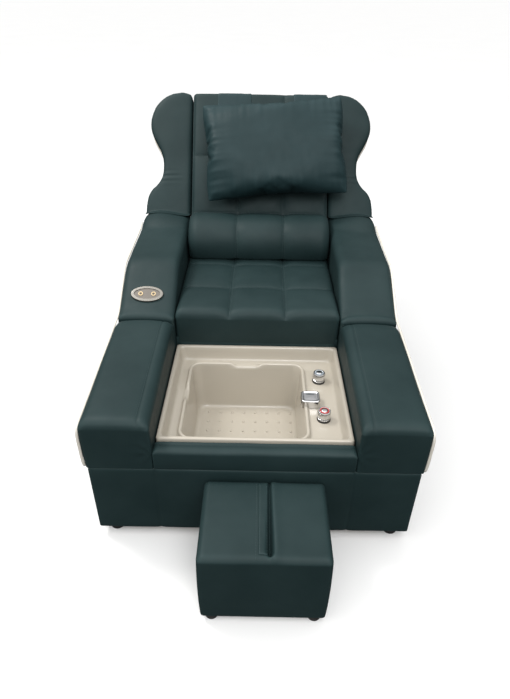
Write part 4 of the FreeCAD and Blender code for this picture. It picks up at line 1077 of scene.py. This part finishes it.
def make_spout():
    """Waterfall spout: a rounded box with a raised rim on top and a wide slot towards the tub."""
    low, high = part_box("spout")
    x0, x1 = low.x * 1000, high.x * 1000
    y0, y1 = (low.y - FRONT_Y) * 1000, (high.y - FRONT_Y) * 1000
    top = high.z * 1000
    steps = [(0.6, 280.3), (0, 281), (0, top - 4.5), (0.5, top - 2.2), (1.6, top - 0.7), (3.2, top),
             (5.0, top), (6.0, top - 0.7), (6.6, top - 1.8), (7.4, top - 2.2), (11, top - 2.0), (16, top - 1.7)]
    vertices = []
    for inset, z in steps:
        radius = max(9 - inset * 0.55, 2)
        vertices += ring(x0 + inset, x1 - inset, y0 + inset, y1 - inset, radius, z, 10, 8)
    faces = loft(len(steps), len(vertices) // len(steps))
    spout = closed_object("spout_body", vertices, faces, CHROME)
    middle = (low.y + high.y) / 2
    slot = block("slot_cutter", (low.x - 0.01, middle - 0.0195, high.z - 0.0150),
                 (high.x - 0.020, middle + 0.0195, high.z - 0.0045), 0.002, CHROME, 0.004)
    cut = spout.modifiers.new("slot", "BOOLEAN")
    cut.operation = "DIFFERENCE"
    cut.object = slot
    applied(spout)
    bpy.data.objects.remove(slot)
    sharp_edges(spout, 38)
    dress(spout, "chair", "chrome", "spout")


def switch_place():
    """The switch's own axes, with Z out of the arm's slope."""
    (foot_run, foot_rise), (top_run, top_rise) = ARM_LINE[2:4]
    rise, run = top_rise - foot_rise, top_run - foot_run
    height = foot_rise + (SWITCH_RUN - foot_run) * rise / run
    slope = Matrix.Rotation(math.atan2(rise, run), 4, "X")
    return Matrix.Translation((SWITCH_X, FRONT_Y + SWITCH_RUN, height)) @ slope


BUTTON_X = 0.020
BUTTON_CAP = [(0.0090, -0.0050), (0.0090, -0.0030), (0.0074, -0.0029), (0.0074, 0.0046), (0.0070, 0.0055),
              (0.0060, 0.0060), (0.0049, 0.0057), (0.0044, 0.0049), (0.0040, 0.0046)]
BUTTON_DISH = [(0.0041, 0.0040), (0.0043, 0.0047), (0.0036, 0.0050), (0.0012, 0.0047)]


def make_buttons():
    """Each button is a gold cap with a raised rim round a dark dish."""
    for word, x in (("up", BUTTON_X), ("down", -BUTTON_X)):
        node, body = "recline_button_" + word, "button_" + word
        place = switch_place() @ Matrix.Translation((x, 0, 0))
        cap = turned(node + "_cap", (0, 0, 0), BUTTON_CAP, GOLD, 48, place=place)
        dress(cap, body, "button_gold", node)
        dish = turned(node + "_dish", (0, 0, 0), BUTTON_DISH, DARK, 36, place=place)
        dress(dish, body, "black_plastic")


def make_feet():
    """Turned rubber feet with a flared pad and a shallow waist."""
    profile = [(0.90, 0.0), (0.98, 0.06), (1.0, 0.14), (0.99, 0.24), (0.90, 0.34), (0.82, 0.44), (0.80, 0.60),
               (0.86, 0.74), (0.92, 0.84), (0.92, 1.0)]
    for node, body, radius, rows in (("base_feet", "chair", 0.020, 3), ("stool_feet", "footstool", 0.017, 2)):
        low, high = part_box(node)
        tall = high.z
        inset = Vector((radius, radius, 0))
        low, high = low + inset, high - inset
        vertices, faces = [], []
        for x, y in [(x, y) for x in (low.x, high.x) for y in np.linspace(low.y, high.y, rows)]:
            add_lathe(vertices, faces, Vector((x, y, 0)), [(r * radius, h * tall) for r, h in profile], 40)
        feet = closed_object(node + "_turned", vertices, faces, RUBBER)
        sharp_edges(feet, 40)
        dress(feet, body, "black_rubber", node)


# --- Footstool ---


def make_stool():
    low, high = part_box("stool_cover")
    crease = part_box("stool_pleat")[1].x + 0.004
    marks = ((crease, crease - 0.026), (), ())
    stool = pad("stool_cover_pad", low, high, 0.014, 0.010, LEATHER, 0.012, marks)
    co, x, y, z = columns_of(stool)
    top = smooth_step(z, high.z - 0.022, high.z - 0.006)
    full = puff(to_nearest(x, (low.x, high.x)), 0.05) * puff(to_nearest(y, (low.y, high.y)), 0.05)
    forward = smooth_step(-y, -high.y, -low.y)
    slit = np.exp(-(np.abs(x - crease) / (0.0025 + 0.003 * forward)) ** 2)
    slit *= smooth_step(y, low.y + 0.012, low.y + 0.022)
    z += top * (0.006 * full - 0.004 - (0.014 + 0.016 * forward) * slit + 0.0012 * wavy(co, 13, 61))
    z += top * 0.003 * np.exp(-((x - crease - 0.012) / 0.008) ** 2)
    for axis, values in ((0, x), (1, y)):
        for end, sign in ((low[axis], -1), (high[axis], 1)):
            near = smooth_step(-np.abs(values - end), -0.016, -0.003)
            values += sign * near * 0.0030 * puff(to_nearest(z, (low.z, high.z)), 0.05)
    return covered(stool, (x, y, z), "footstool", "stool_cover", 0.85)


def make_pleat(stool):
    """The raised strip, laid on the stool's top from front to back."""
    low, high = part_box("stool_pleat")
    tree = BVHTree.FromObject(stool, bpy.context.evaluated_depsgraph_get())
    strip = block("stool_pleat_strip", (low.x, low.y, 0), (high.x, high.y, 0.0048), 0.0018, LEATHER, 0.004)
    co = points_of(strip)
    for k, (x, y, z) in enumerate(co):
        hit = tree.ray_cast(Vector((x, y, 0.5)), Vector(DOWN))[0]
        co[k, 2] = hit.z + z - 0.0012 + 0.0007 * noise.noise(Vector((x * 90, y * 40, 0)))
    return covered(strip, co.T, "footstool", "stool_pleat", None)


# --- Piping and stitches ---


def tube_along(name, path, radius, material, sides=12):
    """A closed round tube that follows the points."""
    path = [Vector(p) for p in path]
    vertices = []
    normal = None
    for k, point in enumerate(path):
        ahead = (path[min(k + 1, len(path) - 1)] - path[max(k - 1, 0)]).normalized()
        if normal is None:
            normal = ahead.orthogonal().normalized()
        normal = (normal - ahead * normal.dot(ahead)).normalized()
        side = ahead.cross(normal)
        for s in range(sides):
            angle = 2 * math.pi * s / sides
            vertices.append(point + radius * (math.cos(angle) * normal + math.sin(angle) * side))
    return closed_object(name, vertices, loft(len(path), sides), material)


def make_arm_piping():
    for side, word in SIDES:
        line = [(0.430, 0.034, 0.259), (0.4305, 0.014, 0.2605), (0.4315, 0.0035, 0.268), (0.4325, 0.001, 0.290),
                (0.433, 0.001, 0.330), (0.433, 0.001, 0.366), (0.432, 0.006, 0.386), (0.431, 0.022, 0.395)]
        for run in np.linspace(0.05, 0.955, 50):
            top = arm_top(np.array([0.429]), np.array([FRONT_Y + run]))[0]
            line.append((0.4305, run, float(top) - 0.016))
        path = [(side * x, FRONT_Y + y, z) for x, y, z in spline_through(line, 3)]
        cord = tube_along("arm_piping_" + word, path, 0.0036, CREAM)
        dress(cord, "chair", "cream_piping", "arm_piping")


def make_wing_piping():
    for side, word in SIDES:
        line = spline_through(WING_EDGE[1:-1], 6)
        path = [BACK @ Vector((side * (x + 0.0005), 0.088, z)) for x, z in line]
        path = [p for p in path if math.hypot(p.y - PIVOT.y, p.z - PIVOT.z) > 0.164]
        cord = tube_along("wing_piping_" + word, path, 0.0038, CREAM)
        dress(cord, "backrest", "cream_piping", "wing_piping")


def stitches(name, body, target, lines, rays, pitch=0.0075, length=0.0048):
    """Rows of short thread loops laid on a cover: each line is projected along its ray onto the mesh."""
    tree = BVHTree.FromObject(target, bpy.context.evaluated_depsgraph_get())
    vertices, faces = [], []
    for line, ray in zip(lines, rays):
        line = [Vector(p) for p in line]
        ray = Vector(ray).normalized()
        total = sum((b - a).length for a, b in zip(line, line[1:]))
        for n in range(int(total / pitch)):
            ends = [at_length(line, n * pitch + half * length) for half in (0, 1)]
            hits = [tree.ray_cast(end - ray * 0.2, ray) for end in ends]
            if any(hit[0] is None for hit in hits):
                continue
            a, b, out = hits[0][0], hits[1][0], hits[0][1]
            if (a - b).length > 2 * length:
                continue
            add_stitch(vertices, faces, a, b, out)
    dress(new_object(name, vertices, faces, THREAD), body, "upholstery")


def at_length(line, distance):
    for a, b in zip(line, line[1:]):
        span = (b - a).length
        if distance <= span:
            return a.lerp(b, distance / span)
        distance -= span
    return line[-1]


# A thread loop's rows: share of its length, thickness and rise
LOOP = ((0.0, 0.45, -0.2), (0.2, 0.9, 0.35), (0.5, 1.0, 0.55), (0.8, 0.9, 0.35), (1.0, 0.45, -0.2))
LOOP_SIDES = 6
THREAD_WIDTH = 0.0009


def add_stitch(vertices, faces, a, b, out):
    """One thread loop: a short bead that dips into the cover at both ends."""
    along = (b - a).normalized()
    side = along.cross(out).normalized()
    start = len(vertices)
    for share, scale, lift in LOOP:
        centre = a.lerp(b, share) + out * lift * THREAD_WIDTH
        for s in range(LOOP_SIDES):
            angle = 2 * math.pi * s / LOOP_SIDES
            round_it = 0.62 * math.cos(angle) * side + 0.5 * math.sin(angle) * out
            vertices.append(centre + scale * THREAD_WIDTH * round_it)
    faces += loft(len(LOOP), LOOP_SIDES, start)


def sew_seat(seat):
    low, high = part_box("seat_cushion")
    lines = [[(x + d, low.y + 0.02, high.z), (x + d, high.y - 0.02, high.z)] for x in SEAT_SEAMS_X
             for d in (-0.0042, 0.0042)]
    lines += [[(low.x + 0.02, y + d, high.z), (high.x - 0.02, y + d, high.z)] for y in SEAT_ROWS_Y
              for d in (-0.0042, 0.0042)]
    stitches("seat_stitches", "chair", seat, lines, [DOWN] * len(lines))


def sew_back(back_cushion, bolster):
    inwards = BACK.to_3x3() @ Vector((0, 1, 0))
    lines = [[BACK @ Vector((x + d, 0, h)) for h in (0.010, 0.430)] for x in BACK_SEAMS_X
             for d in (-0.004, 0.004)]
    lines += [[BACK @ Vector((x, 0, BACK_ROWS[1] + d)) for x in (-0.240, 0.240)] for d in (-0.004, 0.004)]
    stitches("back_stitches", "backrest", back_cushion, lines, [inwards] * len(lines))
    lines, rays = [], []
    for x in (x + d for x in BACK_SEAMS_X for d in (-0.0042, 0.0042)):
        for t in np.radians(np.arange(-55, 80, 4.5)):
            ends = [BOLSTER_MIDDLE + Vector((x, -BOLSTER_REACH * math.cos(a), BOLSTER_TALL * math.sin(a)))
                    for a in (t, t + 0.0785)]
            lines.append([BACK @ end for end in ends])
            inwards = Vector((0, math.cos(t) / BOLSTER_REACH, -math.sin(t) / BOLSTER_TALL))
            rays.append(BACK.to_3x3() @ inwards)
    stitches("bolster_stitches", "backrest", bolster, lines, rays, pitch=0.0058, length=0.0042)


def sew_arms(front_arms):
    for side, word in SIDES:
        x = side * (ARM_SEAM_X + 0.004)
        low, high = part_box("front_arm_" + word)
        line = [(x, low.y + 0.03, high.z), (x, high.y - 0.02, high.z)]
        stitches(f"front_arm_{word}_stitches", "chair", front_arms[word], [line], [DOWN])


def sew_apron(apron):
    low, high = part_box("front_apron")
    lines = [[(low.x + 0.01, low.y + 0.026 + d, high.z), (high.x - 0.01, low.y + 0.026 + d, high.z)]
             for d in (-0.0045, 0.0045)]
    stitches("apron_stitches", "chair", apron, lines, [DOWN] * 2)


def sew_stool(stool, pleat):
    low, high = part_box("stool_pleat")
    edges = [[(x, y, high.z) for y in (low.y + 0.004, high.y - 0.004)]
             for x in (low.x + 0.0035, high.x - 0.0035)]
    stitches("pleat_stitches", "footstool", pleat, edges, [DOWN] * 2)
    beside = [(low.x - 0.005, low.y - 0.008, high.z), (low.x - 0.005, high.y + 0.004, high.z)]
    stitches("stool_stitches", "footstool", stool, [beside], [DOWN])


# --- The whole set ---


make_camera()
make_floor()
make_lights()
paint_nodes()

seat = make_seat()
make_skirt()
front_arms = {word: make_front_arm(side, word) for side, word in SIDES}
for arm_side, arm_word in SIDES:
    make_upper_arm(arm_side, arm_word)
make_panel("front_panel", 0.004, seams_x=(-0.255, 0.255), seed=71)
make_panel("rear_panel", 0.004, outward=1, seed=72)
make_panel("side_panel_left", 0.004, axis=0, outward=-1, seed=73)
make_panel("side_panel_right", 0.004, axis=0, outward=1, seed=74)
apron = make_apron()

back_cushion = make_back_cushion()
bolster = make_bolster()
make_bolster_skirt()
for wing_side, wing_word in SIDES:
    make_wing(wing_side, wing_word)
make_back_cover()
make_pillow()
make_straps()

make_basin()
make_nubs()
make_knob("hot_knob", "hot_index", "hot_control", RED)
make_knob("cold_knob", "cold_index", "cold_control", GREY_BLUE)
make_spout()
make_buttons()
make_feet()

stool = make_stool()
pleat = make_pleat(stool)
make_arm_piping()
make_wing_piping()

sew_seat(seat)
sew_back(back_cushion, bolster)
sew_arms(front_arms)
sew_apron(apron)
sew_stool(stool, pleat)
